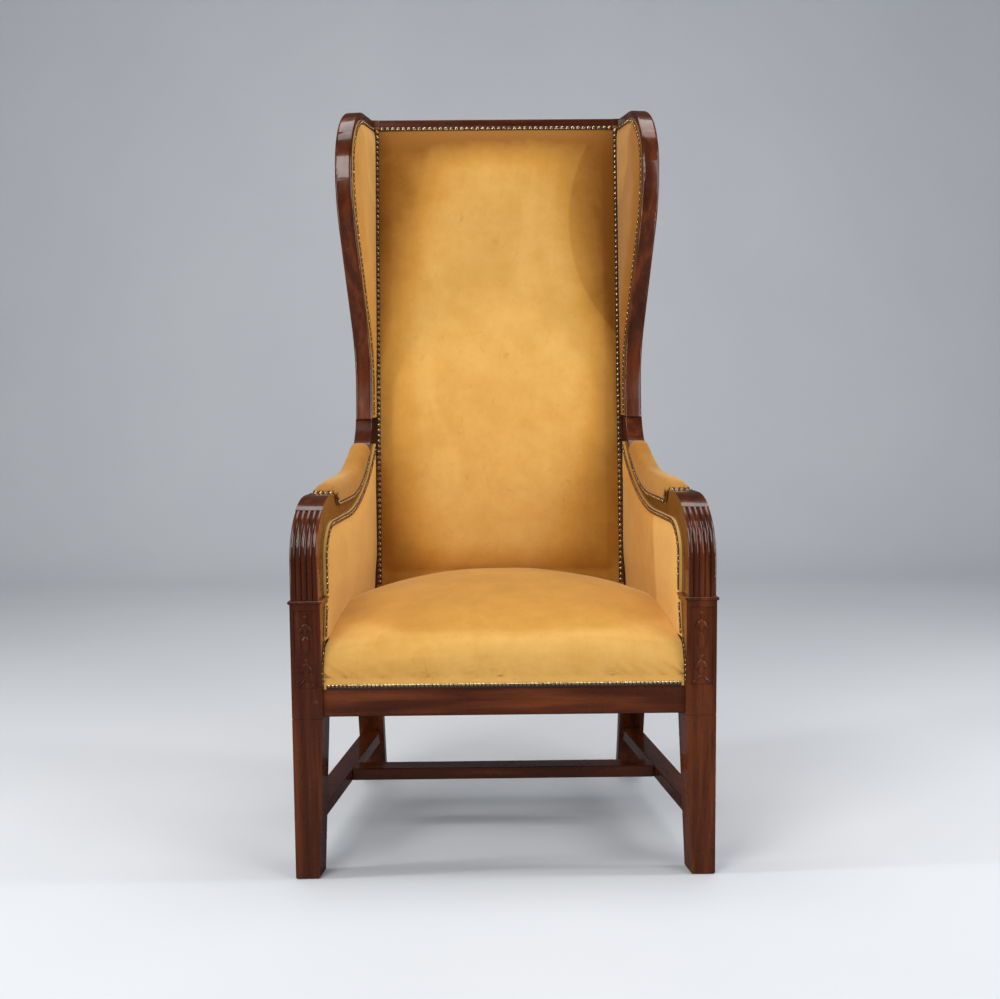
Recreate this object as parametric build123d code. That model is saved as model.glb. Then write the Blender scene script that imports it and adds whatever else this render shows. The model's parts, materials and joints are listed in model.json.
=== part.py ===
from build123d import *
import math
import os

os.makedirs("parts", exist_ok=True)

# A tall wing armchair on tapered front legs and swept rear legs.
# X is across the chair, depth runs back from the front faces of the front posts, Z is up.
# The right half stands on +X and is mirrored for the left half.

# Shared clearances and cuts
overrun = 10.0
joint_gap = 0.2
cloth_gap = 0.3

# Plan of the frame
front_half_width = 336.0
rear_half_width = 276.0
frame_set_in = 1.0

# Heights of the frame
rail_bottom_height = 264.0
rail_height = 58.0
collar_base_height = 441.0
arm_underside_height = 558.0
arm_joint_height = 716.0
top_rail_crest_height = 1283.0

# Back rake, measured on the front face of the stiles
stile_front_depth = 419.5
stile_kink_height = 300.0
rake_angle = 8.5

# Front posts
post_width = 48.0
post_depth = 50.0
post_inner_toe_share = 0.118
foot_width = 38.0
foot_depth = 39.0
foot_chamfer = 2.5
taper_line_height = 262.0
taper_line_width = 1.2
taper_line_depth = 0.8
post_tenon_width = 22.0
post_tenon_depth = 24.0
post_tenon_length = 38.0

# Carved panel on the front posts
panel_border = 5.5
panel_bottom_height = 311.0
panel_top_height = 436.0
panel_recess = 2.2
bead_height = 426.0
bead_radius = 3.0
husk_height = 408.0
husk_length = 19.0
husk_width = 6.4
husk_spread_angle = 34.0
oval_height = 382.0
oval_length = 27.0
oval_width = 12.0
stem_bottom_height = 324.0
stem_width = 1.6
pod_height = 356.0
pod_radius = 3.4
spear_height = 338.0
spear_length = 25.0
spear_width = 8.0
tent_apex_height = 327.0
tent_foot_height = 315.0
tent_half_spread = 14.0
tent_bar_width = 2.4

# Collar mouldings
collar_height = 11.0
collar_projection = 2.6
collar_bead_height = 6.0
collar_rounding_share = 0.4

# Reeded arm supports
support_width = 44.0
support_thickness = 50.0
support_bend_radius = 100.0
support_length = 150.0
support_top_length = 137.0
support_end_height = 583.0
reed_count = 5
reed_relief = 2.4
reed_seating = 4.0
reed_end_angle = 55.0

# Arm rails
arm_rail_thickness = 34.0
arm_top_level_depth = 255.0
arm_top_bend_radius = 250.0
arm_top_bend_angle = 45.0
arm_neck_bend_radius = 89.0
arm_under_level_depth = 210.0
arm_under_bend_radius = 380.0
neck_width = 30.5
neck_depth_place = 457.0
arm_tenon_length = 26.0
arm_tenon_width = 14.0
arm_tenon_height = 16.0
stile_tenon_length = 18.0
stile_tenon_rise = 34.0
wing_tenon_size = 11.0
wing_tenon_length = 14.0

# Rear posts
stile_width = 50.0
rear_leg_width = 48.0
rear_foot_width = 47.0
stile_base_thickness = 38.0
stile_top_thickness = 30.0
leg_sweep_height = 105.0
leg_sweep_depth = 54.0
leg_thickness_there = 36.0
rear_foot_sweep = 102.0
rear_foot_thickness = 34.0
rebate_width = 8.0

# Seat rails and braces
rail_thickness = 28.0
front_rail_set_back = 9.0
back_rail_set_back = 11.0
back_rail_thickness = 24.0
rail_tenon_length = 26.0
rail_tenon_thickness = 10.0
rail_tenon_shoulder = 9.0
side_tenon_length = 20.0
side_tenon_thickness = 8.0
side_tenon_inset = 10.0
brace_width = 34.0
brace_reach = 96.0
brace_height = 30.0

# Rails of the back
stay_rail_bottom_height = 338.0
stay_rail_height = 44.0
top_rail_height = 56.0
top_rail_thickness = 26.0
top_tenon_length = 24.0
top_tenon_thickness = 9.0

# Stretchers
stretcher_bottom_height = 89.0
stretcher_height = 21.0
side_stretcher_width = 34.5
side_stretcher_inset = 5.0
stretcher_toe_share = 0.13
stretcher_tenon_length = 16.0
stretcher_tenon_width = 11.0
stretcher_tenon_height = 13.0
cross_stretcher_depth = 230.0
cross_stretcher_width = 40.0
cross_tenon_length = 12.0
cross_tenon_width = 26.0

# Wings, in the plane of the wing: reach is forward of the stile, rise is along the stile
wing_thickness = 31.0
wing_flare_angle = 8.0
wing_base_reach = 25.0
wing_lean_angle = 30.0
wing_hollow_radius = 227.0
wing_reach = 178.0
wing_breast_radius = 228.0
wing_breast_rise = 437.0
wing_crest_radius = 127.0
wing_band_width = 34.0
wing_scarf_rise = 497.0
wing_edge_rounding = 5.0

# Upholstery
cloth_thickness = 2.0
webbing_thickness = 1.6
webbing_width = 50.0
webbing_lap = 16.0
hessian_thickness = 0.8
hessian_lap = 12.0
bottom_cloth_thickness = 1.5
panel_padding = 10.0
cover_lap = 8.2

# Seat: heights stand above the seat rails, stations run back from the front of the cover
seat_web_count = 4
seat_web_pitch = 112.0
seat_cross_web_count = 4
seat_cross_web_first = 84.0
seat_cross_web_pitch = 92.0
seat_skirt_height = 308.5
seat_length = 440.0
seat_station_shares = (0.0, 0.017, 0.046, 0.127, 0.27, 0.51, 0.75, 1.0)
seat_edge_heights = (10.0, 32.0, 54.0, 60.0, 78.0, 92.0, 84.0, 69.0)
seat_crown_heights = (26.0, 58.0, 76.0, 92.0, 108.0, 124.0, 124.0, 110.0)

# Back: stations climb the stiles, the crown stands forward of them
back_web_count = 3
back_web_pitch = 112.0
back_cross_web_count = 7
back_cross_web_pitch = 118.0
back_cover_half_width = 232.5
back_cover_bottom_height = 332.0
back_cover_drop = 14.0
back_border = 9.0
back_crown = 24.0
back_station_shares = (0.0, 0.1, 0.125, 0.16, 0.25, 0.45, 0.7, 0.87, 0.96, 0.99, 1.0)
back_crown_shares = (0.01, 0.02, 0.3, 0.62, 0.92, 1.0, 1.0, 0.93, 0.55, 0.02, 0.01)

# Arms: the inside cover passes the seat, the pad lies on the rail
arm_cover_thickness = 4.4
arm_cover_flap_depth = 24.0
arm_cover_flap_height = 384.0
arm_cover_flap_lean = 12.0
pad_front_gap = 1.0
pad_overhang = 2.0
pad_skirt = 9.0
pad_side_share = 0.52
pad_station_depths = (138.0, 146.0, 158.0, 172.0, 215.0, 260.0, 305.0, 350.0, 390.0, 412.0, 421.0)
pad_thicknesses = (18.5, 22.5, 26.0, 29.0, 33.0, 34.0, 33.0, 33.0, 31.0, 26.0, 12.0)

# Wings and outside of the back
wing_outside_inset = 12.0
wing_cover_crest_drop = 6.0
neck_cover_inset = 5.0
neck_cover_height = 652.0
outside_back_half_width = 258.0
outside_back_bottom_height = 303.0
outside_cover_drop = 8.0

# Fasteners
nail_radius = 4.0
nail_rise = 2.4
nail_pitch = 10.2
nail_edge = 4.2
nail_sides = 10
nail_shoulder_share = 0.76
nail_shoulder_rise_share = 0.62
nail_top_share = 0.3
small_nail_radius = 3.1
small_nail_rise = 2.0
small_nail_pitch = 6.5
small_nail_edge = 5.0
back_nails_height = 404.0
peg_radius = 3.2
peg_rise = 0.6
peg_length = 24.0
peg_inset = 9.0
peg_height = 290.0

# Worked-out places
rail_top_height = rail_bottom_height + rail_height
collar_top_height = collar_base_height + collar_height
arm_top_height = arm_underside_height + support_thickness
arm_rail_top_height = arm_underside_height + arm_rail_thickness
rake = math.radians(rake_angle)
rake_slope = math.tan(rake)
toe = (front_half_width - rear_half_width) / stile_front_depth
toe_angle = math.degrees(math.atan(toe))
post_inner_half = front_half_width - post_width
stile_inner_half = rear_half_width - stile_width
arm_narrowing = (support_width - neck_width) / neck_depth_place
stile_neck_half = front_half_width - frame_set_in - toe * (stile_front_depth
                                                           + rake_slope * (arm_joint_height - stile_kink_height))
rebate_depth = 2 * webbing_thickness + hessian_thickness
stuffing_base_height = rail_top_height + rebate_depth


# Lines of the plan and of the back

def outer_line(depth):
    return front_half_width - toe * depth


def post_inner_line(depth):
    return post_inner_half - post_inner_toe_share * depth


def frame_outer_line(depth):
    return outer_line(depth) - frame_set_in


def arm_inner_line(depth):
    return frame_outer_line(depth) - support_width + arm_narrowing * depth


def stile_front(height):
    return stile_front_depth + rake_slope * (height - stile_kink_height)


def stile_back(height):
    share = (height - stile_kink_height) / (top_rail_crest_height - stile_kink_height)
    return stile_front(height) + stile_base_thickness + (stile_top_thickness - stile_base_thickness) * share


# Shapes that many pieces use

def plan_block(outer, inner, depths, heights):
    corners = [(outer(depths[0]), depths[0]), (outer(depths[1]), depths[1])]
    corners += [(inner(depths[1]), depths[1]), (inner(depths[0]), depths[0])]
    face = make_face(Polyline(*corners, close=True))
    return extrude(Pos(0, 0, heights[0]) * face, heights[1] - heights[0], dir=(0, 0, 1))


def box_between(low, high):
    size = [high[i] - low[i] for i in range(3)]
    return Pos(*low) * Box(*size, align=(Align.MIN, Align.MIN, Align.MIN))


def side_block(outline, across):
    """A prism across X from an outline drawn in depth and height."""
    face = Pos(across[0], 0, 0) * (Plane.YZ * make_face(outline))
    return extrude(face, across[1] - across[0], dir=(1, 0, 0))


def bend(center, radius, angles):
    points = []
    for angle in (angles[0], (angles[0] + angles[1]) / 2, angles[1]):
        turn = math.radians(angle)
        points.append((center[0] + radius * math.cos(turn), center[1] + radius * math.sin(turn)))
    return ThreePointArc(*points)


def joined(*edges):
    """Edges of an outline, closed with straight lines between the drawn ones."""
    wire = []
    for i, edge in enumerate(edges):
        wire.append(edge)
        following = edges[(i + 1) % len(edges)]
        if (edge @ 1 - following @ 0).length > joint_gap / 10:
            wire.append(Line(edge @ 1, following @ 0))
    return wire


def constant(value):
    return lambda depth: value


def shifted(line, distance):
    return lambda depth: line(depth) + distance


def both_sides(solid):
    return solid, mirror(solid, Plane.YZ)


# Rear posts: swept leg below, raked stile above

def rear_post_outline():
    foot = stile_front_depth + rear_foot_sweep
    knee = stile_front_depth + leg_sweep_depth
    front_kink = (stile_front_depth, stile_kink_height)
    back_kink = (stile_front_depth + stile_base_thickness, stile_kink_height)
    front_sweep = ThreePointArc(front_kink, (knee, leg_sweep_height), (foot, 0))
    back_foot = (foot + rear_foot_thickness, 0)
    back_knee = (knee + leg_thickness_there, leg_sweep_height)
    back_sweep = ThreePointArc(back_foot, back_knee, back_kink)
    crest = top_rail_crest_height
    back_line = Line(back_kink, (stile_back(crest), crest))
    top_line = Line(back_line @ 1, (stile_front(crest), crest))
    return joined(front_sweep, back_sweep, back_line, top_line)


def rear_post_body():
    post = side_block(rear_post_outline(), (0, rear_half_width))
    neck = stile_neck_half
    crest = top_rail_crest_height
    face = [(rear_half_width, 0), (rear_half_width, stile_kink_height), (neck, arm_joint_height)]
    face += [(neck, crest), (stile_inner_half, crest), (stile_inner_half, rail_bottom_height)]
    face += [(rear_half_width - rear_leg_width, rail_bottom_height)]
    face += [(rear_half_width - rear_foot_width, 0)]
    depth_span = stile_back(crest) + overrun
    front_view = extrude(Plane.XZ * make_face(Polyline(*face, close=True)), depth_span, dir=(0, 1, 0))
    return post & front_view


def back_rebate(low, high, half_width):
    """Step for the webbing and hessian, cut into the front of the frame between two heights."""
    face = [(stile_front(low) - overrun, low), (stile_front(low) + rebate_depth, low)]
    face += [(stile_front(high) + rebate_depth, high), (stile_front(high) - overrun, high)]
    return side_block(Polyline(*face, close=True), (-overrun, half_width))


# Front posts

def post_leg():
    high = taper_line_height
    top = [(outer_line(0), 0), (outer_line(post_depth), post_depth)]
    top += [(post_inner_line(post_depth), post_depth), (post_inner_line(0), 0)]
    inner = front_half_width - foot_width

    def foot_ring(shrink):
        slant = toe * foot_depth
        ring = [(front_half_width - shrink, shrink)]
        ring += [(front_half_width - slant - shrink, foot_depth - shrink)]
        ring += [(inner - slant + shrink, foot_depth - shrink), (inner + shrink, shrink)]
        return make_face(Polyline(*ring, close=True))

    upper = Pos(0, 0, high) * make_face(Polyline(*top, close=True))
    ankle = Pos(0, 0, foot_chamfer) * foot_ring(0)
    leg = loft([upper, ankle], ruled=True)
    sole = loft([ankle, foot_ring(foot_chamfer)], ruled=True)
    return leg + sole


def pointed_leaf(center, length, width, tilt=0.0):
    half = length / 2
    right = ThreePointArc((0, -half), (width / 2, 0), (0, half))
    left = ThreePointArc((0, half), (-width / 2, 0), (0, -half))
    leaf = make_face([right, left])
    return Pos(center[0], center[1], 0) * (Rot(0, 0, tilt) * leaf)


def slanted_bar(start, end, width):
    run = math.hypot(end[0] - start[0], end[1] - start[1])
    middle = ((start[0] + end[0]) / 2, (start[1] + end[1]) / 2)
    angle = math.degrees(math.atan2(end[1] - start[1], end[0] - start[0]))
    return Pos(middle[0], middle[1], 0) * (Rot(0, 0, angle) * Rectangle(run, width))


def husk_drop():
    """Bead, bellflower, oval leaf, pod, spear and tent of one carved drop, in X and height."""
    x = front_half_width - post_width / 2
    drop = Pos(x, bead_height, 0) * Circle(bead_radius)
    drop += slanted_bar((x, bead_height), (x, stem_bottom_height), stem_width)
    drop += pointed_leaf((x, oval_height), oval_length, oval_width)
    drop += Pos(x, pod_height, 0) * Circle(pod_radius)
    drop += pointed_leaf((x, spear_height), spear_length, spear_width)
    for height in (husk_height, spear_height + spear_length / 4):
        for side in (-1, 0, 1):
            sway = side * husk_length * math.sin(math.radians(husk_spread_angle)) / 2
            place = (x - sway, height)
            drop += pointed_leaf(place, husk_length, husk_width, -side * husk_spread_angle)
    for side in (-1, 1):
        foot = (x + side * tent_half_spread, tent_foot_height)
        drop += slanted_bar((x, tent_apex_height), foot, tent_bar_width)
    return drop


def carved_recess():
    x = front_half_width - post_width / 2
    height = panel_top_height - panel_bottom_height
    field = Pos(x, panel_bottom_height + height / 2, 0) * Rectangle(post_width - 2 * panel_border, height)
    ground = field - husk_drop()
    return extrude(Plane.XZ * ground, panel_recess, dir=(0, 1, 0))


def taper_line_cut():
    low = taper_line_height - taper_line_width / 2
    heights = (low, low + taper_line_width)
    outside = plan_block(shifted(outer_line, overrun), shifted(post_inner_line, -overrun),
                         (-overrun, post_depth + overrun), heights)
    core = plan_block(shifted(outer_line, -taper_line_depth), shifted(post_inner_line, taper_line_depth),
                      (taper_line_depth, post_depth - taper_line_depth), heights)
    return outside - core


def post_tenon(grow=0.0):
    x = front_half_width - post_width / 2 - toe * post_depth / 2
    y = post_depth / 2
    half_x = post_tenon_width / 2 + grow
    half_y = post_tenon_depth / 2 + grow
    top = collar_base_height + collar_height + post_tenon_length + grow
    return box_between((x - half_x, y - half_y, collar_base_height), (x + half_x, y + half_y, top))


def front_post_body():
    block = plan_block(outer_line, post_inner_line, (0, post_depth), (taper_line_height, collar_base_height))
    return block + post_leg() - carved_recess() - taper_line_cut() + post_tenon()


def collar():
    low = collar_base_height
    reach = collar_projection
    neck = (low, low + collar_height - collar_bead_height)
    bead = (neck[1], low + collar_height)
    cove = plan_block(outer_line, post_inner_line, (0, post_depth), neck)
    ring = plan_block(shifted(outer_line, reach), shifted(post_inner_line, -reach), (-reach, post_depth), bead)
    rounding = collar_bead_height * collar_rounding_share
    ring = fillet(ring.edges().filter_by(Plane.XY), rounding)
    return cove + ring - post_tenon(joint_gap)


# Reeded arm supports

def support_outline():
    low = collar_top_height
    spring = arm_top_height - support_bend_radius
    center = (support_bend_radius, spring)
    inner_radius = support_bend_radius - support_thickness
    ground = support_bend_radius - reed_relief
    front = Line((reed_relief, low), (reed_relief, spring))
    reeded = bend(center, ground, (180, 180 - reed_end_angle))
    smooth = bend(center, support_bend_radius, (180 - reed_end_angle, 90))
    top = Line(smooth @ 1, (support_top_length, arm_top_height))
    end = Line((support_length, support_end_height), (support_length, arm_underside_height))
    under = Line(end @ 1, (support_bend_radius, arm_underside_height))
    hollow = bend(center, inner_radius, (90, 180))
    return joined(front, reeded, smooth, top, end, under, hollow, Line(hollow @ 1, (support_thickness, low)))


def reed(corner, width):
    """One reed: a rounded strip that climbs the support and follows its bend."""
    low = collar_top_height
    spring = arm_top_height - support_bend_radius
    seat = reed_relief + reed_seating
    crown = ThreePointArc((-width, reed_relief), (-width / 2, 0), (0, reed_relief))
    section = make_face(joined(crown, Line((0, seat), (-width, seat))))
    shaft = extrude(Pos(0, 0, low) * section, spring - low, dir=(0, 0, 1))
    axis = Axis((0, support_bend_radius, spring), (-1, 0, 0))
    turned = revolve(Pos(0, 0, spring) * section, axis, revolution_arc=reed_end_angle)
    return Pos(corner, 0, 0) * (Rot(0, 0, toe_angle) * (shaft + turned))


def arm_support():
    plan = plan_block(frame_outer_line, arm_inner_line, (-overrun, support_length + overrun),
                      (collar_top_height, arm_top_height + overrun))
    across = (post_inner_half - support_length, front_half_width + overrun)
    body = side_block(support_outline(), across)
    pitch = support_width / reed_count
    outer = frame_outer_line(0)
    for i in range(reed_count):
        body += reed(outer - i * pitch, pitch * math.cos(math.radians(toe_angle)))
    return (body & plan) - post_tenon(joint_gap) - arm_tenon(joint_gap)


# Arm rails

def arm_top_curve(lift=0.0):
    high = arm_rail_top_height
    level = Line((support_length, high + lift), (arm_top_level_depth, high + lift))
    center = (arm_top_level_depth, high + arm_top_bend_radius)
    rise = bend(center, arm_top_bend_radius - lift, (-90, arm_top_bend_angle - 90))
    turn = math.radians(arm_top_bend_angle)
    radius = arm_neck_bend_radius - lift
    run = arm_top_bend_radius - arm_neck_bend_radius
    neck_center = (center[0] + run * math.sin(turn), center[1] - run * math.cos(turn))
    neck = bend(neck_center, radius, (arm_top_bend_angle - 90, -rake_angle))
    return level, rise, neck


def arm_under_curve():
    high = arm_underside_height
    level = Line((arm_under_level_depth, high), (support_length, high))
    center = (arm_under_level_depth, high + arm_under_bend_radius)
    reach = stile_front(arm_joint_height) + overrun - center[0]
    angle = math.degrees(math.asin(reach / arm_under_bend_radius))
    return level, bend(center, arm_under_bend_radius, (angle - 90, -90))


def arm_tenon(grow=0.0):
    x = (frame_outer_line(support_length) + arm_inner_line(support_length)) / 2
    z = arm_underside_height + arm_rail_thickness / 2
    half_x = arm_tenon_width / 2 + grow
    half_z = arm_tenon_height / 2 + grow
    low = (x - half_x, support_length - arm_tenon_length - grow, z - half_z)
    return box_between(low, (x + half_x, support_length, z + half_z))


def behind_stile_front(ahead=0.0, across=(0, front_half_width)):
    low = 0
    high = top_rail_crest_height + overrun
    depth = stile_front(high) + stile_front_depth
    face = [(stile_front(low) - ahead, low), (stile_front(high) - ahead, high), (depth, high), (depth, low)]
    return side_block(Polyline(*face, close=True), across)


def stile_tenon(grow=0.0):
    """Tongue from the arm's neck into the stile."""
    height = arm_joint_height - stile_tenon_rise
    depth = stile_front(height)
    x = (frame_outer_line(depth) + arm_inner_line(depth)) / 2
    half_x = arm_tenon_width / 2 + grow
    half_z = arm_tenon_height / 2 + grow
    low = (x - half_x, depth - stile_tenon_length, height - half_z)
    return box_between(low, (x + half_x, depth + stile_tenon_length + grow, height + half_z))


def wing_tenon(grow=0.0):
    """Tongue from the arm's neck up into the wing."""
    depth = stile_front(arm_joint_height) - wing_base_reach / 2
    x = stile_neck_half - wing_thickness / 2
    half = wing_tenon_size / 2 + grow
    low = (x - half, depth - half, arm_joint_height - wing_tenon_length)
    return box_between(low, (x + half, depth + half, arm_joint_height + wing_tenon_length + grow))


def arm_rail():
    level, rise, neck = arm_top_curve()
    under, sweep = arm_under_curve()
    end_depth = stile_front(arm_joint_height) + overrun
    back = Line((end_depth, arm_joint_height), sweep @ 0)
    tip = neck @ 1
    neck_end = Line(tip, (tip.X + overrun * math.sin(rake), tip.Y + overrun * math.cos(rake)))
    cap = Line(neck_end @ 1, (end_depth, (neck_end @ 1).Y))
    across = (stile_inner_half - overrun, front_half_width)
    body = side_block(joined(level, rise, neck, neck_end, cap, back, sweep, under), across)
    lid = box_between((0, 0, arm_joint_height), (front_half_width, end_depth + overrun, top_rail_crest_height))
    plan = plan_block(frame_outer_line, arm_inner_line, (0, end_depth + overrun),
                      (arm_underside_height - overrun, top_rail_crest_height))
    rail = ((body & plan) - lid - behind_stile_front()) + arm_tenon()
    return rail + stile_tenon() + wing_tenon()


# Wings, drawn in reach and rise and then stood on the stile

def wing_point(reach, rise):
    depth = stile_front(arm_joint_height) + rise * math.sin(rake) - reach * math.cos(rake)
    height = arm_joint_height + rise * math.cos(rake) + reach * math.sin(rake)
    return depth, height


def wing_edges(inset=0.0, base_rise=0.0, rear_reach=0.0, crest_drop=0.0):
    """Closed outline of the wing, drawn in from its front and top edge, with a crest level from the stile."""
    lean = wing_lean_angle
    crest_radius = wing_crest_radius - crest_drop - inset
    crest_center = (wing_reach - inset - crest_radius, wing_breast_rise)
    breast_center = (wing_reach - wing_breast_radius, wing_breast_rise)
    crest = wing_arc(crest_center, crest_radius, (90 - rake_angle, 0))
    breast = wing_arc(breast_center, wing_breast_radius - inset, (0, -lean))
    hollow_top = math.radians(lean)
    hollow_center_reach = wing_base_reach + wing_hollow_radius
    end_reach = hollow_center_reach - wing_hollow_radius * math.cos(hollow_top)
    start_reach = breast_center[0] + wing_breast_radius * math.cos(hollow_top)
    start_rise = breast_center[1] - wing_breast_radius * math.sin(hollow_top)
    fall = (start_reach - end_reach) / math.tan(hollow_top)
    hollow_center_rise = start_rise - fall - wing_hollow_radius * math.sin(hollow_top)
    hollow_center = (hollow_center_reach, hollow_center_rise)
    radius = wing_hollow_radius + inset
    lowest = 180
    reach_there = hollow_center_reach - radius
    if reach_there < rear_reach:
        lowest = 180 - math.degrees(math.acos((hollow_center_reach - rear_reach) / radius))
    hollow = wing_arc(hollow_center, radius, (180 - lean, lowest))
    edges = [crest, breast, hollow]
    if lowest == 180:
        base = wing_line((reach_there, hollow_center_rise), (reach_there, base_rise))
        edges += [base, wing_line((rear_reach, base_rise), (rear_reach, crest_center[1]))]
    top_rise = crest_center[1] + crest_radius / math.cos(rake) + (crest_center[0] - rear_reach) * rake_slope
    edges.append(wing_line((rear_reach, crest_center[1]), (rear_reach, top_rise)))
    return joined(*edges)


def wing_arc(center, radius, angles):
    points = []
    for angle in (angles[0], (angles[0] + angles[1]) / 2, angles[1]):
        turn = math.radians(angle)
        points.append(wing_point(center[0] + radius * math.cos(turn), center[1] + radius * math.sin(turn)))
    return ThreePointArc(*points)


def wing_line(start, end):
    return Line(wing_point(*start), wing_point(*end))


def wing_turned(shape):
    """Swing a flat-standing wing piece outwards about the front of the stile."""
    foot = (stile_neck_half, stile_front(arm_joint_height), arm_joint_height)
    axis = Axis(foot, (0, math.sin(rake), math.cos(rake)))
    return shape.rotate(axis, wing_flare_angle)


def stand_wing(outline, across, rounding=0.0):
    """A wing prism between two distances inside the wing's outer face, flared and cut to the stile."""
    outer = stile_neck_half
    flat = side_block(outline, (outer - across[1], outer - across[0]))
    if rounding:
        flat = fillet(flat.edges().filter_by(GeomType.CIRCLE), rounding)
    return wing_turned(flat) - behind_stile_front()


def wing_frame():
    silhouette = wing_edges(base_rise=-overrun, rear_reach=-overrun)
    body = stand_wing(silhouette, (0, wing_thickness), wing_edge_rounding)
    opening = stand_wing(wing_edges(inset=wing_band_width, rear_reach=-overrun),
                         (-overrun, wing_thickness + overrun))
    floor = box_between((0, 0, 0), (front_half_width, stile_front(top_rail_crest_height), arm_joint_height))
    return body - opening - floor - wing_tenon(joint_gap)


def scarf_cut():
    height = arm_joint_height + wing_scarf_rise * math.cos(rake) + wing_reach * math.sin(rake)
    top = top_rail_crest_height + top_rail_height
    return box_between((0, 0, height), (front_half_width, stile_front(top) + overrun, top))


# Rails and their joints

def front_rail_tenon(grow=0.0):
    y = front_rail_set_back + rail_thickness / 2
    half = rail_tenon_thickness / 2 + grow
    low = rail_bottom_height + rail_tenon_shoulder - grow
    high = rail_top_height - rail_tenon_shoulder + grow
    inner = post_inner_line(front_rail_set_back) - overrun
    return box_between((inner, y - half, low), (post_inner_half + rail_tenon_length + grow, y + half, high))


def front_rail():
    depths = (front_rail_set_back, front_rail_set_back + rail_thickness)
    bar = plan_block(post_inner_line, constant(0), depths, (rail_bottom_height, rail_top_height))
    half = bar + front_rail_tenon()
    return half + mirror(half, Plane.YZ)


def side_rail_tenon(grow=0.0):
    front_x = outer_line(post_depth) - side_tenon_inset
    low = rail_bottom_height + rail_tenon_shoulder - grow
    high = rail_top_height - rail_tenon_shoulder + grow
    near = (front_x - side_tenon_thickness - grow, post_depth - side_tenon_length - grow, low)
    front = box_between(near, (front_x + grow, post_depth + overrun, high))
    rear_x = outer_line(stile_front_depth) - side_tenon_inset
    reach = stile_front_depth + side_tenon_length
    far = (rear_x - side_tenon_thickness - grow, stile_front_depth - overrun, low)
    rear = box_between(far, (rear_x + grow, reach + grow, high))
    return front + rear


def side_rail():
    depths = (post_depth, stile_front_depth + stile_base_thickness / 2)
    heights = (rail_bottom_height, rail_top_height)
    bar = plan_block(frame_outer_line, shifted(frame_outer_line, -rail_thickness), depths, heights)
    return (bar - rear_post_body()) + side_rail_tenon()


def back_rail_tenon(grow=0.0):
    y = stile_front_depth + back_rail_set_back + back_rail_thickness / 2
    half = rail_tenon_thickness / 2 + grow
    low = rail_bottom_height + rail_tenon_shoulder - grow
    high = rail_top_height - rail_tenon_shoulder + grow
    return box_between((0, y - half, low), (stile_inner_half + side_tenon_length + grow, y + half, high))


def back_rail():
    y = stile_front_depth + back_rail_set_back
    bar = box_between((0, y, rail_bottom_height), (stile_inner_half, y + back_rail_thickness, rail_top_height))
    half = bar + back_rail_tenon()
    return half + mirror(half, Plane.YZ)


def back_rail_bar(low, high):
    """A raked bar between the stiles, flush with their front, with its step for the webbing."""
    thick = top_rail_thickness
    face = [(stile_front(low), low), (stile_front(high), high)]
    face += [(stile_front(high) + thick, high), (stile_front(low) + thick, low)]
    return side_block(Polyline(*face, close=True), (0, stile_inner_half))


def raked_tenon(low, high, grow=0.0):
    low = low + rail_tenon_shoulder - grow
    high = high - rail_tenon_shoulder + grow
    near = (top_rail_thickness - top_tenon_thickness) / 2 - grow
    far = (top_rail_thickness + top_tenon_thickness) / 2 + grow
    face = [(stile_front(low) + near, low), (stile_front(high) + near, high)]
    face += [(stile_front(high) + far, high), (stile_front(low) + far, low)]
    return side_block(Polyline(*face, close=True), (0, stile_inner_half + top_tenon_length + grow))


def top_rail():
    high = top_rail_crest_height
    low = high - top_rail_height
    rebate_top = high - back_cover_drop - rebate_width
    rebate = back_rebate(low - overrun, rebate_top + rebate_width / 2, stile_inner_half + overrun)
    half = (back_rail_bar(low, high) - rebate) + raked_tenon(low, high)
    return half + mirror(half, Plane.YZ)


def stay_rail():
    low = stay_rail_bottom_height
    high = low + stay_rail_height
    rebate = back_rebate(low + rebate_width / 2, high + overrun, stile_inner_half + overrun)
    half = (back_rail_bar(low, high) - rebate) + raked_tenon(low, high)
    return half + mirror(half, Plane.YZ)


def corner_brace(rear):
    heights = (rail_top_height - brace_height, rail_top_height)
    rail_face = front_rail_set_back + rail_thickness
    step = 1
    if rear:
        rail_face = stile_front_depth + back_rail_set_back
        step = -1
    side_face = shifted(frame_outer_line, -rail_thickness)
    near = side_face(rail_face) - brace_reach
    far = rail_face + step * brace_reach
    thick = brace_width * math.sqrt(2)
    corners = [(near + thick, rail_face), (near, rail_face)]
    corners += [(side_face(far), far), (side_face(far - step * thick), far - step * thick)]
    brace = extrude(Pos(0, 0, heights[0]) * make_face(Polyline(*corners, close=True)), brace_height,
                    dir=(0, 0, 1))
    return brace


# Stretchers

def stretcher_inner_line(depth):
    start = outer_line(post_depth) - side_stretcher_inset - side_stretcher_width
    return start - stretcher_toe_share * (depth - post_depth)


def side_stretcher_tenon(grow=0.0):
    mid_height = stretcher_bottom_height + stretcher_height / 2
    half_z = stretcher_tenon_height / 2 + grow
    half_x = stretcher_tenon_width / 2 + grow
    leg_back = foot_depth
    front_x = stretcher_inner_line(leg_back) + side_stretcher_width / 2
    near = (front_x - half_x, leg_back - stretcher_tenon_length - grow, mid_height - half_z)
    front = box_between(near, (front_x + half_x, post_depth + overrun, mid_height + half_z))
    knee = stile_front_depth + leg_sweep_depth
    rear_x = stretcher_inner_line(knee) + side_stretcher_width / 2
    far = (rear_x - half_x, knee - overrun, mid_height - half_z)
    rear = box_between(far, (rear_x + half_x, knee + stretcher_tenon_length + grow, mid_height + half_z))
    return front + rear


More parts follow.
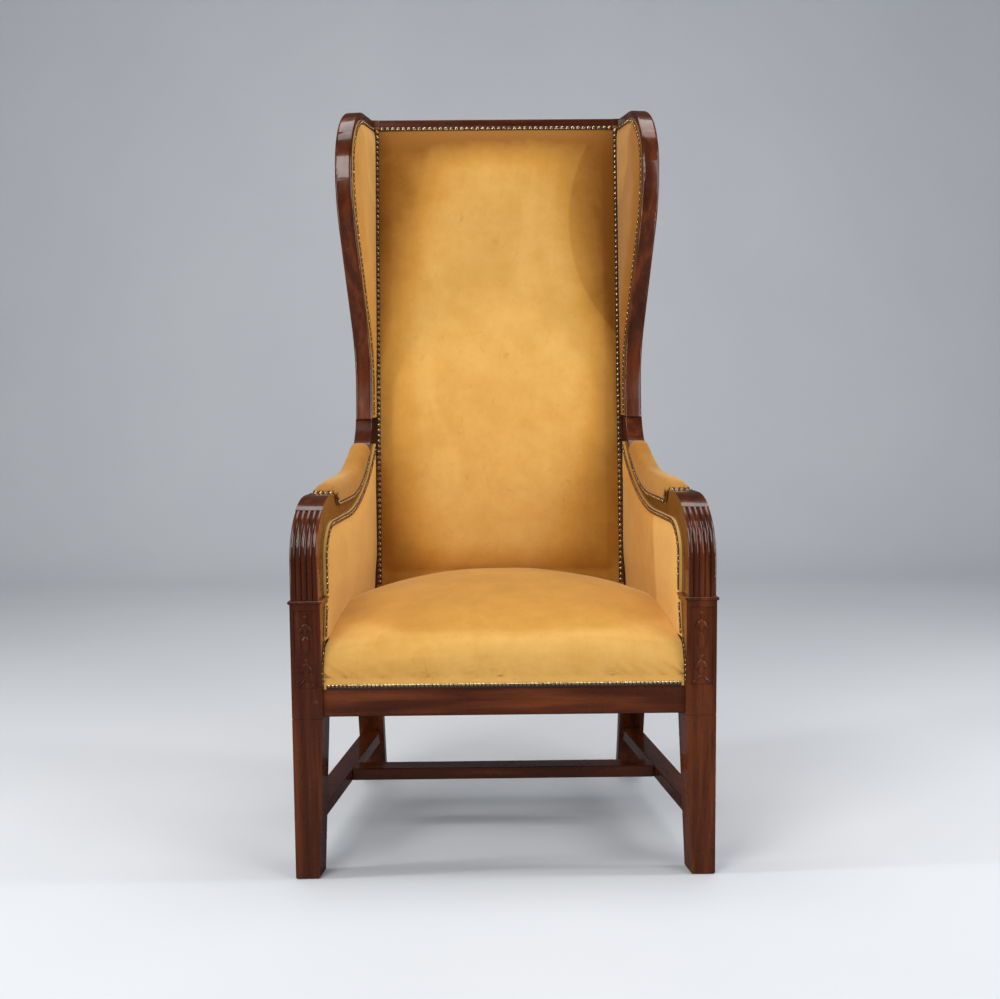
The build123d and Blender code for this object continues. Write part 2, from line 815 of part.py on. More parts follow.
def side_stretcher():
    heights = (stretcher_bottom_height, stretcher_bottom_height + stretcher_height)
    depths = (foot_depth - stretcher_tenon_length, stile_front_depth + rear_foot_sweep)
    bar = plan_block(shifted(stretcher_inner_line, side_stretcher_width), stretcher_inner_line, depths, heights)
    bar = bar - rear_post_body() - post_leg()
    beyond = box_between((0, stile_front_depth + leg_sweep_depth + overrun, 0),
                         (front_half_width, stile_front_depth + 2 * rear_foot_sweep, rail_bottom_height))
    ahead = box_between((0, -overrun, 0), (front_half_width, foot_depth, rail_bottom_height))
    return (bar - beyond - ahead) + side_stretcher_tenon()


def cross_stretcher_tenon(grow=0.0):
    y = cross_stretcher_depth + cross_stretcher_width / 2
    half_y = cross_tenon_width / 2 + grow
    mid_height = stretcher_bottom_height + stretcher_height / 2
    half_z = stretcher_tenon_height / 2 + grow
    reach = stretcher_inner_line(y) + cross_tenon_length + grow
    return box_between((0, y - half_y, mid_height - half_z), (reach, y + half_y, mid_height + half_z))


def cross_stretcher():
    depths = (cross_stretcher_depth, cross_stretcher_depth + cross_stretcher_width)
    heights = (stretcher_bottom_height, stretcher_bottom_height + stretcher_height)
    bar = plan_block(stretcher_inner_line, constant(0), depths, heights)
    half = bar + cross_stretcher_tenon()
    return half + mirror(half, Plane.YZ)


# Finished posts, stretchers and pegs

def joint_peg():
    x = post_inner_half + peg_inset
    peg = extrude(Plane.XZ * Circle(peg_radius), peg_length + peg_rise, dir=(0, 1, 0))
    return Pos(x, -peg_rise, peg_height) * peg


def front_post():
    body = front_post_body() - front_rail_tenon(joint_gap) - side_rail_tenon(joint_gap)
    return body - side_stretcher_tenon(joint_gap) - joint_peg()


def rear_post():
    stay_top = stay_rail_bottom_height + stay_rail_height
    crest = top_rail_crest_height
    low = stay_rail_bottom_height + rebate_width / 2
    high = crest - back_cover_drop - rebate_width / 2
    body = rear_post_body() - side_rail_tenon(joint_gap) - back_rail_tenon(joint_gap)
    body = body - raked_tenon(stay_rail_bottom_height, stay_top, joint_gap)
    body = body - raked_tenon(crest - top_rail_height, crest, joint_gap)
    body = body - back_rebate(low, high, stile_inner_half + rebate_width)
    return body - stile_tenon(joint_gap) - side_stretcher_tenon(joint_gap)


# Seat upholstery

def arm_cover_line(depth):
    return arm_inner_line(depth) - arm_cover_thickness


def seat_half_line(depth):
    return arm_cover_line(depth) - cloth_gap


def seat_section(depth, heights, shrink, low):
    half = seat_half_line(depth) - shrink
    side_top = rail_top_height + heights[0] - shrink
    middle = rail_top_height + heights[1] - shrink
    crown = ThreePointArc((half, side_top), (0, middle), (-half, side_top))
    return Pos(0, depth, 0) * (Plane.XZ * make_face(joined(crown, Line((-half, low), (half, low)))))


def seat_form(shrink, low):
    """Crowned seat, drawn in all round by a distance and ended against the back."""
    start = front_rail_set_back - cloth_thickness + shrink
    sections = []
    for i, share in enumerate(seat_station_shares):
        heights = (seat_edge_heights[i], seat_crown_heights[i])
        sections.append(seat_section(start + share * seat_length, heights, shrink, low))
    ahead = cloth_thickness + cloth_gap + shrink
    return loft(sections, ruled=True) - behind_stile_front(ahead, (-front_half_width, front_half_width))


def seat_cover():
    hollow = seat_form(cloth_thickness, stuffing_base_height - overrun)
    front = front_rail_set_back
    half = seat_half_line(front)
    skirt = box_between((-half, front - cloth_thickness, seat_skirt_height), (half, front, stuffing_base_height))
    return (seat_form(0, stuffing_base_height) - hollow) + skirt


def seat_stuffing():
    return seat_form(cloth_thickness + cloth_gap, stuffing_base_height)


def seat_webbing():
    """Bands from front to back with bands across them, tacked on top of the rails."""
    low = rail_top_height
    middle = low + webbing_thickness
    front = front_rail_set_back + rail_thickness - webbing_lap
    back = stile_front_depth + back_rail_set_back + webbing_lap
    bands = []
    for i in range(seat_web_count):
        x = (i - (seat_web_count - 1) / 2) * seat_web_pitch
        bands.append(box_between((x - webbing_width / 2, front, low), (x + webbing_width / 2, back, middle)))
    for i in range(seat_cross_web_count):
        depth = seat_cross_web_first + i * seat_cross_web_pitch
        half = frame_outer_line(depth) - rail_thickness + webbing_lap
        bands.append(box_between((-half, depth, middle), (half, depth + webbing_width, middle + webbing_thickness)))
    return bands


def rail_cloth(heights, depths, side_inset):
    """Flat cloth between the posts, stepped in beside the front posts and the stiles."""
    front = plan_block(shifted(post_inner_line, -cloth_gap), constant(0),
                       (depths[0], post_depth + cloth_gap), heights)
    middle = plan_block(shifted(frame_outer_line, -side_inset), constant(0),
                        (post_depth + cloth_gap, stile_front_depth - overrun), heights)
    rear = plan_block(constant(stile_inner_half - cloth_gap), constant(0),
                      (stile_front_depth - overrun, depths[1]), heights)
    half = front + middle + rear
    return half + mirror(half, Plane.YZ)


def seat_hessian():
    depths = (front_rail_set_back + cloth_gap, stile_front_depth + back_rail_set_back + webbing_lap)
    heights = (stuffing_base_height - hessian_thickness, stuffing_base_height)
    return rail_cloth(heights, depths, rail_thickness - hessian_lap)


def bottom_cloth():
    depths = (front_rail_set_back + nail_edge, stile_front_depth + back_rail_set_back + webbing_lap)
    heights = (rail_bottom_height - bottom_cloth_thickness, rail_bottom_height)
    return rail_cloth(heights, depths, nail_edge)


# Back upholstery, set out on the raked front of the stiles

def back_point(ahead, height):
    depth = stile_front(height) - ahead * math.cos(rake)
    return depth, height + ahead * math.sin(rake)


def back_section(height, half, edge, crown, border):
    center = (0, edge + crown)
    inner = half - border
    arc = ThreePointArc((inner, edge), center, (-inner, edge))
    plane = Plane((0, stile_front(height), height), x_dir=(1, 0, 0), z_dir=(0, -math.sin(rake), -math.cos(rake)))
    outline = joined(arc, Line((-half, edge), (-half, 0)), Line((half, 0), (half, edge)))
    return plane * make_face(outline)


def back_form(half, edge, crown, border, heights):
    sections = []
    for i, share in enumerate(back_station_shares):
        height = heights[0] + share * (heights[1] - heights[0])
        sections.append(back_section(height, half, edge, crown * back_crown_shares[i], border))
    return loft(sections, ruled=True)


def back_heights(shrink):
    return back_cover_bottom_height + shrink, top_rail_crest_height - back_cover_drop - shrink


def inside_back_cover():
    outer = back_form(back_cover_half_width, cloth_thickness, back_crown, back_border, back_heights(0))
    inner_half = stile_inner_half
    hollow = back_form(inner_half, cloth_gap, back_crown - cloth_thickness, back_border, back_heights(back_border))
    return outer - hollow


def back_stuffing():
    half = stile_inner_half - cloth_gap
    edge = cloth_gap / 2
    crown = back_crown - cloth_thickness - cloth_gap
    return back_form(half, edge, crown, back_border, back_heights(back_border + cloth_gap))


def back_band(half, heights, depth_layer, x=0):
    """A flat band behind the stuffing; the layer counts back from the front of the stiles."""
    near, far = depth_layer
    face = [back_point(-near, heights[0]), back_point(-near, heights[1])]
    face += [back_point(-far, heights[1]), back_point(-far, heights[0])]
    return side_block(Polyline(*face, close=True), (x - half, x + half))


def back_webbing():
    front_layer = (hessian_thickness, hessian_thickness + webbing_thickness)
    rear_layer = (front_layer[1], rebate_depth)
    low = stay_rail_bottom_height + rebate_width
    high = top_rail_crest_height - back_cover_drop - rebate_width
    half = stile_inner_half + rebate_width - cloth_gap
    bands = []
    for i in range(back_web_count):
        x = (i - (back_web_count - 1) / 2) * back_web_pitch
        bands.append(back_band(webbing_width / 2, (low, high), rear_layer, x))
    start = stay_rail_bottom_height + stay_rail_height + webbing_width / 2
    for i in range(back_cross_web_count):
        base = start + i * back_cross_web_pitch
        bands.append(back_band(half, (base, base + webbing_width), front_layer))
    return bands


def back_hessian():
    heights = (stay_rail_bottom_height + rebate_width, top_rail_crest_height - back_cover_drop - rebate_width)
    return back_band(stile_inner_half + rebate_width - cloth_gap, heights, (0, hessian_thickness))


def outside_back_cover():
    low = outside_back_bottom_height
    high = top_rail_crest_height - outside_cover_drop
    face = [(stile_back(low), low), (stile_back(high), high)]
    face += [(stile_back(high) + cloth_thickness, high), (stile_back(low) + cloth_thickness, low)]
    return side_block(Polyline(*face, close=True), (-outside_back_half_width, outside_back_half_width))


# Arm upholstery

arm_rear_depth = stile_front(arm_joint_height) + overrun


def arm_opening(lap, low, front, rear=arm_rear_depth):
    """Outline of the arm panel, lapped on to the support and the arm rail by a distance."""
    spring = arm_top_height - support_bend_radius
    center = (support_bend_radius, spring)
    hollow = bend(center, support_bend_radius - support_thickness + lap, (180, 90))
    start = Line((support_thickness - lap, front), hollow @ 0)
    high = arm_underside_height + lap
    level = Line(hollow @ 1, (arm_under_level_depth, high))
    sweep_center = (arm_under_level_depth, arm_underside_height + arm_under_bend_radius)
    angle = math.degrees(math.asin((rear - arm_under_level_depth) / arm_under_bend_radius))
    sweep = bend(sweep_center, arm_under_bend_radius - lap, (-90, angle - 90))
    back = Line((rear, low), (post_depth + cloth_gap, low))
    return start, hollow, level, sweep, back


def inside_arm_cover():
    collar_line = collar_top_height + cloth_gap
    start, hollow, level, sweep, back = arm_opening(cover_lap, stuffing_base_height, collar_line)
    rear_of_post = post_depth + cloth_gap
    flap_low = (arm_cover_flap_depth, arm_cover_flap_height)
    flap_high = (arm_cover_flap_depth + arm_cover_flap_lean, collar_base_height - cloth_gap)
    flap = Polyline((rear_of_post, arm_cover_flap_height), flap_low, flap_high, (rear_of_post, flap_high[1]),
                    (rear_of_post, collar_line))
    outline = joined(start, hollow, level, sweep, back, flap)
    panel = side_block(outline, (stile_inner_half, front_half_width))
    heights = (stuffing_base_height, arm_joint_height)
    sheet = plan_block(arm_inner_line, arm_cover_line, (0, arm_rear_depth), heights)
    return (panel & sheet) - behind_stile_front(cloth_gap) - front_post_body()


def inside_arm_stuffing():
    start, hollow, level, sweep, back = arm_opening(-cloth_gap, stuffing_base_height, stuffing_base_height)
    panel = side_block(joined(start, hollow, level, sweep, back), (stile_inner_half, front_half_width))
    heights = (stuffing_base_height, arm_joint_height)
    slab = plan_block(shifted(arm_inner_line, panel_padding), arm_inner_line, (0, arm_rear_depth), heights)
    return (panel & slab) - behind_stile_front(cloth_gap)


def outside_arm_cover():
    collar_line = collar_top_height + cloth_gap
    start, hollow, level, sweep, back = arm_opening(cover_lap, seat_skirt_height, collar_line)
    rear_of_post = post_depth + cloth_gap
    rise = Line((rear_of_post, seat_skirt_height), (rear_of_post, collar_line))
    panel = side_block(joined(start, hollow, level, sweep, back, rise), (stile_inner_half, 2 * front_half_width))
    heights = (seat_skirt_height, arm_joint_height)
    skin = shifted(frame_outer_line, cloth_thickness)
    sheet = plan_block(skin, frame_outer_line, (0, arm_rear_depth), heights)
    return (panel & sheet) - behind_stile_front(cloth_gap, (0, 2 * front_half_width))


# Arm pads

def arm_top_at(depth):
    run = max(0, depth - arm_top_level_depth)
    drop = math.sqrt(arm_top_bend_radius ** 2 - run ** 2)
    return arm_rail_top_height + arm_top_bend_radius - drop


def pad_section(depth, thickness, overhang, low):
    outer = frame_outer_line(depth) + overhang
    inner = arm_inner_line(depth) - overhang
    base = arm_top_at(depth)
    side = base + thickness * pad_side_share
    crown = ThreePointArc((outer, side), ((outer + inner) / 2, base + thickness), (inner, side))
    outline = joined(crown, Line((inner, base - low), (outer, base - low)))
    return Pos(0, depth, 0) * (Plane.XZ * make_face(outline))


def pad_form(overhang, wall, low):
    """Crowned roll on the arm rail, thinned by a wall and shortened by it at both ends."""
    sections = []
    last = len(pad_station_depths) - 1
    for i, depth in enumerate(pad_station_depths):
        place = depth
        if i == 0:
            place = depth + wall
        if i == last:
            place = depth - wall
        sections.append(pad_section(place, pad_thicknesses[i] - wall, overhang, low))
    return loft(sections, ruled=True)


def under_arm_top(lift):
    """Everything below the arm's top line and ahead of the pad, raised by a distance."""
    level, rise, neck = arm_top_curve(lift)
    tip = neck @ 1
    front = [(0, arm_top_height + lift), (support_top_length + lift, arm_top_height + lift)]
    front += [(support_length + lift, support_end_height + lift), (support_length + lift, arm_rail_top_height + lift)]
    low = -overrun
    outline = joined(Polyline(*front), Line(front[-1], level @ 1), rise, neck,
                     Line((tip.X + front_half_width, tip.Y), (tip.X + front_half_width, low)), Line((0, low), front[0]))
    return side_block(outline, (0, front_half_width))


def arm_pad_cover():
    depths = (0, stile_front_depth)
    heights = (arm_underside_height, arm_joint_height)
    wood = plan_block(frame_outer_line, arm_inner_line, depths, heights) & under_arm_top(0)
    hollow = pad_form(0, cloth_thickness, pad_skirt - cloth_thickness)
    body = pad_form(pad_overhang, 0, pad_skirt) - hollow - wood
    return body - pad_front_room(pad_front_gap)


def pad_front_room(gap):
    """The end of the arm support and a narrow gap behind it."""
    top = arm_top_height + gap
    low = arm_underside_height - overrun
    face = [(0, low), (0, top), (support_top_length + gap, top)]
    face += [(support_length + gap, support_end_height), (support_length + gap, low)]
    return side_block(Polyline(*face, close=True), (0, front_half_width + overrun))


def arm_pad_stuffing():
    body = pad_form(-cloth_gap, cloth_thickness + cloth_gap, 0)
    return body - under_arm_top(cloth_gap) - pad_front_room(pad_front_gap + cloth_thickness)


# Wing upholstery

def neck_cover():
    """Lower end of the inside wing cover, carried down the neck of the arm."""
    neck = arm_top_curve(-neck_cover_inset)[2]
    top = neck @ 1
    depth = arm_rear_depth
    back = Polyline((top.X, arm_joint_height), (depth, arm_joint_height), (depth, neck_cover_height))
    panel = side_block(joined(neck, back), (stile_inner_half - overrun, front_half_width))
    heights = (neck_cover_height, arm_joint_height)
    sheet = plan_block(arm_inner_line, shifted(arm_inner_line, -cloth_thickness), (0, depth), heights)
    below = joined(*arm_opening(cover_lap + cloth_gap, stuffing_base_height, stuffing_base_height))
    return (panel & sheet) - behind_stile_front(cloth_gap) - side_block(below, (0, front_half_width))


def inside_wing_cover():
    outline = wing_edges(inset=wing_edge_rounding, rear_reach=-overrun, crest_drop=wing_cover_crest_drop)
    sheet = stand_wing(outline, (wing_thickness, wing_thickness + cloth_thickness)) - below_wing()
    return sheet - behind_stile_front(cloth_gap)


def below_wing():
    depth = stile_front(top_rail_crest_height)
    return box_between((0, 0, 0), (front_half_width + overrun, depth, arm_joint_height))


def outside_wing_cover():
    outline = wing_edges(inset=wing_outside_inset, rear_reach=0)
    sheet = stand_wing(outline, (-cloth_thickness, 0)) - below_wing()
    return sheet - behind_stile_front(cloth_gap, (0, front_half_width * 2))


def inside_wing_stuffing():
    outline = wing_edges(inset=wing_band_width + cloth_gap, rear_reach=cloth_gap)
    return stand_wing(outline, (wing_thickness - panel_padding, wing_thickness)) - below_wing()


# Nails

def nail_cap(radius, rise):
    """A domed nail head standing on its rim, with a few flat sides."""
    rings = []
    for size_share, rise_share in ((1, 0), (nail_shoulder_share, nail_shoulder_rise_share), (nail_top_share, 1)):
        rings.append(Pos(0, 0, rise * rise_share) * RegularPolygon(radius * size_share, nail_sides))
    return loft([rings[0], rings[1]], ruled=True) + loft([rings[1], rings[2]], ruled=True)


def stops(path, pitch):
    count = max(1, round(path.length / pitch))
    return [path @ ((i + 0.5) / count) for i in range(count)]


def nail_at(cap, point, normal):
    return Plane(point, z_dir=normal).location * cap


def side_nails(path, line, outward, size=(nail_radius, nail_rise, nail_pitch)):
    """Nails along a path drawn in depth and height, seated on an upright face of the plan."""
    cap = nail_cap(size[0], size[1])
    slope = line(1) - line(0)
    normal = (outward, -outward * slope, 0)
    return [nail_at(cap, (line(p.X), p.X, p.Y), normal) for p in stops(path, size[2])]


def seat_front_nails():
    depth = front_rail_set_back - cloth_thickness
    height = seat_skirt_height + small_nail_edge
    half = seat_half_line(depth) - small_nail_edge
    cap = nail_cap(small_nail_radius, small_nail_rise)
    row = Wire([Line((-half, height), (half, height))])
    return [nail_at(cap, (p.X, depth, p.Y), (0, -1, 0)) for p in stops(row, small_nail_pitch)]


def seat_end_nails():
    """Small nails up the inner face of the front post, ahead of the seat's end."""
    start = front_rail_set_back - cloth_thickness
    row = []
    for i in range(3):
        depth = start + seat_station_shares[i] * seat_length
        row.append((depth - small_nail_radius - cloth_gap, rail_top_height + seat_edge_heights[i]))
    row.insert(0, (row[0][0], seat_skirt_height + small_nail_edge))
    return side_nails(Wire(Polyline(*row).edges()), post_inner_line, -1, (small_nail_radius, small_nail_rise,
                                                                          nail_pitch))


def back_nails():
    cap = nail_cap(nail_radius, nail_rise)
    normal = (0, -math.cos(rake), math.sin(rake))
    x = back_cover_half_width - nail_edge
    high = top_rail_crest_height - back_cover_drop - nail_edge
    path = Wire(Polyline((x, back_nails_height), (x, high), (-x, high), (-x, back_nails_height)).edges())
    top_lip = back_crown * back_crown_shares[-2]
    nails = []
    for p in stops(path, nail_pitch):
        ahead = cloth_thickness + (top_lip if p.Y > high - nail_radius else 0)
        depth, height = back_point(ahead, p.Y)
        nails.append(nail_at(cap, (p.X, depth, height), normal))
    return nails


def wing_nails():
    edges = wing_edges(inset=wing_edge_rounding + nail_edge, crest_drop=wing_cover_crest_drop)
    path = Wire([edges[-1]] + edges[:5])
    cap = nail_cap(nail_radius, nail_rise)
    x = stile_neck_half - wing_thickness - cloth_thickness
    return [wing_turned(nail_at(cap, (x, p.X, p.Y), (-1, 0, 0))) for p in stops(path, nail_pitch)]


def inside_arm_nails():
    border = cover_lap - nail_edge
    front = collar_top_height + nail_radius
    rear = stile_front(arm_joint_height) - cover_lap - nail_pitch
    start, hollow, level, sweep, back = arm_opening(border, stuffing_base_height, front, rear)
    low_point = (arm_cover_flap_depth + small_nail_edge, arm_cover_flap_height + small_nail_edge)
    high_point = (low_point[0] + arm_cover_flap_lean, collar_base_height - small_nail_edge)
    flap = side_nails(Wire([Line(low_point, high_point)]), arm_cover_line, -1,
                      (small_nail_radius, small_nail_rise, nail_pitch))
    return flap + side_nails(Wire([start, hollow, level, sweep]), arm_cover_line, -1)


def pad_nails():
    """Rows along both skirts of the pad, climbing over the end of the support."""
    lift = nail_radius - pad_skirt
    level, rise, neck = arm_top_curve(lift)
    begin = support_length + pad_front_gap + nail_radius
    slope = Line((support_top_length + nail_radius + pad_front_gap, arm_top_height), (begin, level.position_at(0).Y))
    level = Line(slope @ 1, level @ 1)
    end = (pad_station_depths[-1] - nail_radius - arm_top_level_depth) / (rise @ 1 - rise @ 0).X
    path = Wire([slope, level, rise.trim(0, end)])
    outer = side_nails(path, shifted(frame_outer_line, pad_overhang), 1)
    return outer + side_nails(path, shifted(arm_inner_line, -pad_overhang), -1)


# The named pieces of the chair

pieces = {}


def add(name, *solids):
    pieces[name] = list(solids)


def add_pair(name, *solids):
    add(name + "_right", *solids)
    add(name + "_left", *[mirror(solid, Plane.YZ) for solid in solids])


add_pair("front_post", front_post())
add_pair("post_collar", collar())
add_pair("arm_support", arm_support())
add_pair("arm_rail", arm_rail())
add_pair("rear_post", rear_post())
wing_timber = wing_frame()
add_pair("wing_upright", wing_timber - scarf_cut())
add_pair("wing_crest", wing_timber & scarf_cut())
add_pair("side_seat_rail", side_rail())
add_pair("side_stretcher", side_stretcher() - cross_stretcher_tenon(joint_gap))
add("front_seat_rail", front_rail() - joint_peg() - mirror(joint_peg(), Plane.YZ))
add("back_seat_rail", back_rail())
add("back_stay_rail", stay_rail())
add("top_rail", top_rail())
add("cross_stretcher", cross_stretcher())
add("corner_braces", *both_sides(corner_brace(False)), *both_sides(corner_brace(True)))
add("joint_pegs", *both_sides(joint_peg()))
add("seat_webbing", *seat_webbing())
add("seat_hessian", seat_hessian())
add("seat_stuffing", seat_stuffing())
add("seat_cover", seat_cover())
add("bottom_cloth", bottom_cloth())
add("back_webbing", *back_webbing())
add("back_hessian", back_hessian())
add("back_stuffing", back_stuffing())
add("inside_back_cover", inside_back_cover())
add("outside_back_cover", outside_back_cover())
add_pair("inside_arm_stuffing", inside_arm_stuffing())
add_pair("inside_arm_cover", inside_arm_cover())
add_pair("outside_arm_cover", outside_arm_cover())
add_pair("arm_pad_stuffing", arm_pad_stuffing())
add_pair("arm_pad_cover", arm_pad_cover())
add_pair("inside_wing_stuffing", inside_wing_stuffing())
add_pair("inside_wing_cover", inside_wing_cover(), neck_cover())
add_pair("outside_wing_cover", outside_wing_cover())
add("seat_front_nails", *seat_front_nails())
add("inside_back_nails", *back_nails())
for row_name, nails in (("seat_end_nails", seat_end_nails()), ("wing_nails", wing_nails()),
                        ("inside_arm_nails", inside_arm_nails()), ("arm_pad_nails", pad_nails())):
    add(row_name, *nails, *[mirror(nail, Plane.YZ) for nail in nails])

# The origin is the middle of the footprint on the floor
spans = [solid.bounding_box() for solids in pieces.values() for solid in solids]
middle_depth = (min(span.min.Y for span in spans) + max(span.max.Y for span in spans)) / 2
for name, solids in pieces.items():
    placed = [Pos(0, -middle_depth, 0) * solid for solid in solids]
    shape = placed[0]
    if len(placed) > 1:
        shape = Compound(children=placed)
    export_step(shape, f"parts/{name}.step")
print("depth of the origin behind the front posts", round(middle_depth, 3))
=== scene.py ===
import json
import logging
import math
from dataclasses import dataclass, field
from enum import Enum
from typing import Callable, Iterable, Sequence

import bmesh
import bpy
from mathutils import Matrix, Vector, noise


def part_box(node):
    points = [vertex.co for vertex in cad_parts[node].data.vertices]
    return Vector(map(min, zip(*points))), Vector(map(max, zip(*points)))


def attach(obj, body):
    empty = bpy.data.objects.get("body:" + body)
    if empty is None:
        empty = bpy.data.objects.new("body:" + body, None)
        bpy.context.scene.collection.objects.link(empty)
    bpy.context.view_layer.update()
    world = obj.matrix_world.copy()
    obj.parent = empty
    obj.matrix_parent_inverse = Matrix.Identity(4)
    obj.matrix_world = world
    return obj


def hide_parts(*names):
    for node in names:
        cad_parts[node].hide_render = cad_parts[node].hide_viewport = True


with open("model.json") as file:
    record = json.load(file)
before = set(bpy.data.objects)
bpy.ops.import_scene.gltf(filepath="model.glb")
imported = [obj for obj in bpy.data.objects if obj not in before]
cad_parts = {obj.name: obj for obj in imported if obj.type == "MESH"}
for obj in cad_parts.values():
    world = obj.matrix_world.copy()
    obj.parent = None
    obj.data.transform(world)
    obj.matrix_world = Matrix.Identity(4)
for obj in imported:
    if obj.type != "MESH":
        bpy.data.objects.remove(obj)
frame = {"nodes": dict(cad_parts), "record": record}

log = logging.getLogger("wing_chair")
MM = 0.001
Point = tuple[float, float]
Line = Callable[[float], float]


class Side(Enum):
    """The two mirrored halves of the chair."""

    LEFT = -1
    RIGHT = 1

    @property
    def word(self) -> str:
        """Name of the side as the pieces carry it."""
        return self.name.lower()


class Grain(Enum):
    """Direction in which the wood of a piece runs."""

    UPRIGHT = "upright"
    ACROSS = "across"
    ALONG = "along"


# Shader building

class Value:
    """A number socket that can be used in sums."""

    def __init__(self, shader: "Shader", socket: bpy.types.NodeSocket) -> None:
        """Wraps a socket of the shader's tree."""
        self.shader = shader
        self.socket = socket

    def _sum(self, operation: str, first: object, second: object) -> "Value":
        """Adds one Math node and returns its result."""
        node = self.shader.node("ShaderNodeMath", {"operation": operation}, {0: first, 1: second})
        return Value(self.shader, node.outputs[0])

    def __add__(self, other: object) -> "Value":
        """Sum of this and another value."""
        return self._sum("ADD", self, other)

    def __sub__(self, other: object) -> "Value":
        """This less another value."""
        return self._sum("SUBTRACT", self, other)

    def __rsub__(self, other: object) -> "Value":
        """Another value less this."""
        return self._sum("SUBTRACT", other, self)

    def __mul__(self, other: object) -> "Value":
        """Product of this and another value."""
        return self._sum("MULTIPLY", self, other)

    __radd__ = __add__
    __rmul__ = __mul__


class Shader:
    """One material and the nodes that make it."""

    def __init__(self, name: str) -> None:
        """Starts a material with a Principled shader.

        Args:
            name: name of the material.
        """
        self.material = bpy.data.materials.new(name)
        self.material.use_nodes = True
        self.tree = self.material.node_tree
        self.tree.nodes.clear()
        self.surface = self.tree.nodes.new("ShaderNodeBsdfPrincipled")
        output = self.tree.nodes.new("ShaderNodeOutputMaterial")
        self.tree.links.new(self.surface.outputs[0], output.inputs[0])

    def node(self, kind: str, settings: dict, inputs: dict) -> bpy.types.Node:
        """Adds a node.

        Args:
            kind: Blender's name for the node type.
            settings: attributes to set first; a ramp's stops are given as "stops".
            inputs: value or link for each input, by name or index.

        Returns:
            The new node.
        """
        made = self.tree.nodes.new(kind)
        for key, value in settings.items():
            if key == "stops":
                self._set_stops(made.color_ramp, value)
            else:
                setattr(made, key, value)
        for key, value in inputs.items():
            self.feed(made.inputs[key], value)
        return made

    def _set_stops(self, ramp: bpy.types.ColorRamp, stops: Sequence) -> None:
        """Puts colour stops on a ramp.

        Args:
            ramp: the ramp.
            stops: the place and colour of each stop.
        """
        while len(ramp.elements) < len(stops):
            ramp.elements.new(0.5)
        for element, (place, color) in zip(ramp.elements, stops):
            element.position = place
            element.color = (*color, 1.0)

    def feed(self, socket: bpy.types.NodeSocket, value: object) -> None:
        """Links a socket, or sets its plain value.

        Args:
            socket: the socket that is fed.
            value: a value, a socket or a constant.
        """
        if isinstance(value, Value):
            self.tree.links.new(value.socket, socket)
        elif isinstance(value, bpy.types.NodeSocket):
            self.tree.links.new(value, socket)
        else:
            socket.default_value = value

    def place(self, scale: Sequence[float] = (1, 1, 1),
              turn: Sequence[float] = (0, 0, 0)) -> bpy.types.NodeSocket:
        """Object coordinates, stretched and turned.

        Args:
            scale: stretch along each axis.
            turn: turn about each axis, in radians.

        Returns:
            The vector socket.
        """
        source = self.node("ShaderNodeTexCoord", {}, {})
        turned = {"Vector": source.outputs["Object"], "Scale": scale, "Rotation": turn}
        return self.node("ShaderNodeMapping", {}, turned).outputs[0]

    def cloud(self, place: object, scale: float, detail: float = 3.0, rough: float = 0.5,
              twist: float = 0.0) -> Value:
        """Soft noise between 0 and 1.

        Args:
            place: coordinates to read it at.
            scale: how many times it changes in a metre.
            detail: layers of finer noise.
            rough: weight of the finer layers.
            twist: how far it is distorted.

        Returns:
            The noise.
        """
        inputs = {"Vector": place, "Scale": scale, "Detail": detail, "Roughness": rough, "Distortion": twist}
        return Value(self, self.node("ShaderNodeTexNoise", {}, inputs).outputs["Fac"])

    def reach(self, center: Sequence[float], size: Sequence[float]) -> Value:
        """Distance from a center, counted in the given sizes.

        Args:
            center: place in metres.
            size: length along each axis that counts as 1.

        Returns:
            The distance.
        """
        scale = tuple(1.0 / length for length in size)
        shift = tuple(-place / length for place, length in zip(center, size))
        source = self.node("ShaderNodeTexCoord", {}, {}).outputs["Object"]
        settings = {"Vector": source, "Location": shift, "Scale": scale}
        moved = self.node("ShaderNodeMapping", {}, settings).outputs[0]
        length = self.node("ShaderNodeVectorMath", {"operation": "LENGTH"}, {0: moved})
        return Value(self, length.outputs["Value"])

    def ramp(self, value: object, *stops: tuple) -> bpy.types.NodeSocket:
        """Colour ramp over a value."""
        return self.node("ShaderNodeValToRGB", {"stops": stops}, {"Fac": value}).outputs["Color"]

    def mask(self, value: object, low: float, high: float) -> Value:
        """Smooth step of a value.

        Args:
            value: what is read.
            low: level below which the mask is 0.
            high: level above which it is 1.

        Returns:
            The mask.
        """
        settings = {"interpolation_type": "SMOOTHSTEP"}
        node = self.node("ShaderNodeMapRange", settings, {"Value": value, "From Min": low, "From Max": high})
        return Value(self, node.outputs["Result"])

    def mix(self, share: object, first: object, second: object) -> bpy.types.NodeSocket:
        """Mix of two colours.

        Args:
            share: share of the second colour.
            first: the first colour, plain or linked.
            second: the second colour, plain or linked.

        Returns:
            The mixed colour.
        """
        made = self.tree.nodes.new("ShaderNodeMix")
        made.data_type = "RGBA"
        self.feed(made.inputs[0], share)
        for slot, color in ((6, first), (7, second)):
            plain = isinstance(color, tuple)
            self.feed(made.inputs[slot], (*color, 1.0) if plain else color)
        return made.outputs[2]

    def bump(self, height: object, strength: float, distance: float,
             under: object = None) -> bpy.types.NodeSocket:
        """Normal from a height.

        Args:
            height: the relief, between 0 and 1.
            strength: share of the relief that is used.
            distance: its height in metres.
            under: normal that it lies on.

        Returns:
            The normal.
        """
        inputs = {"Height": height, "Strength": strength, "Distance": distance}
        if under is not None:
            inputs["Normal"] = under
        return self.node("ShaderNodeBump", {}, inputs).outputs[0]

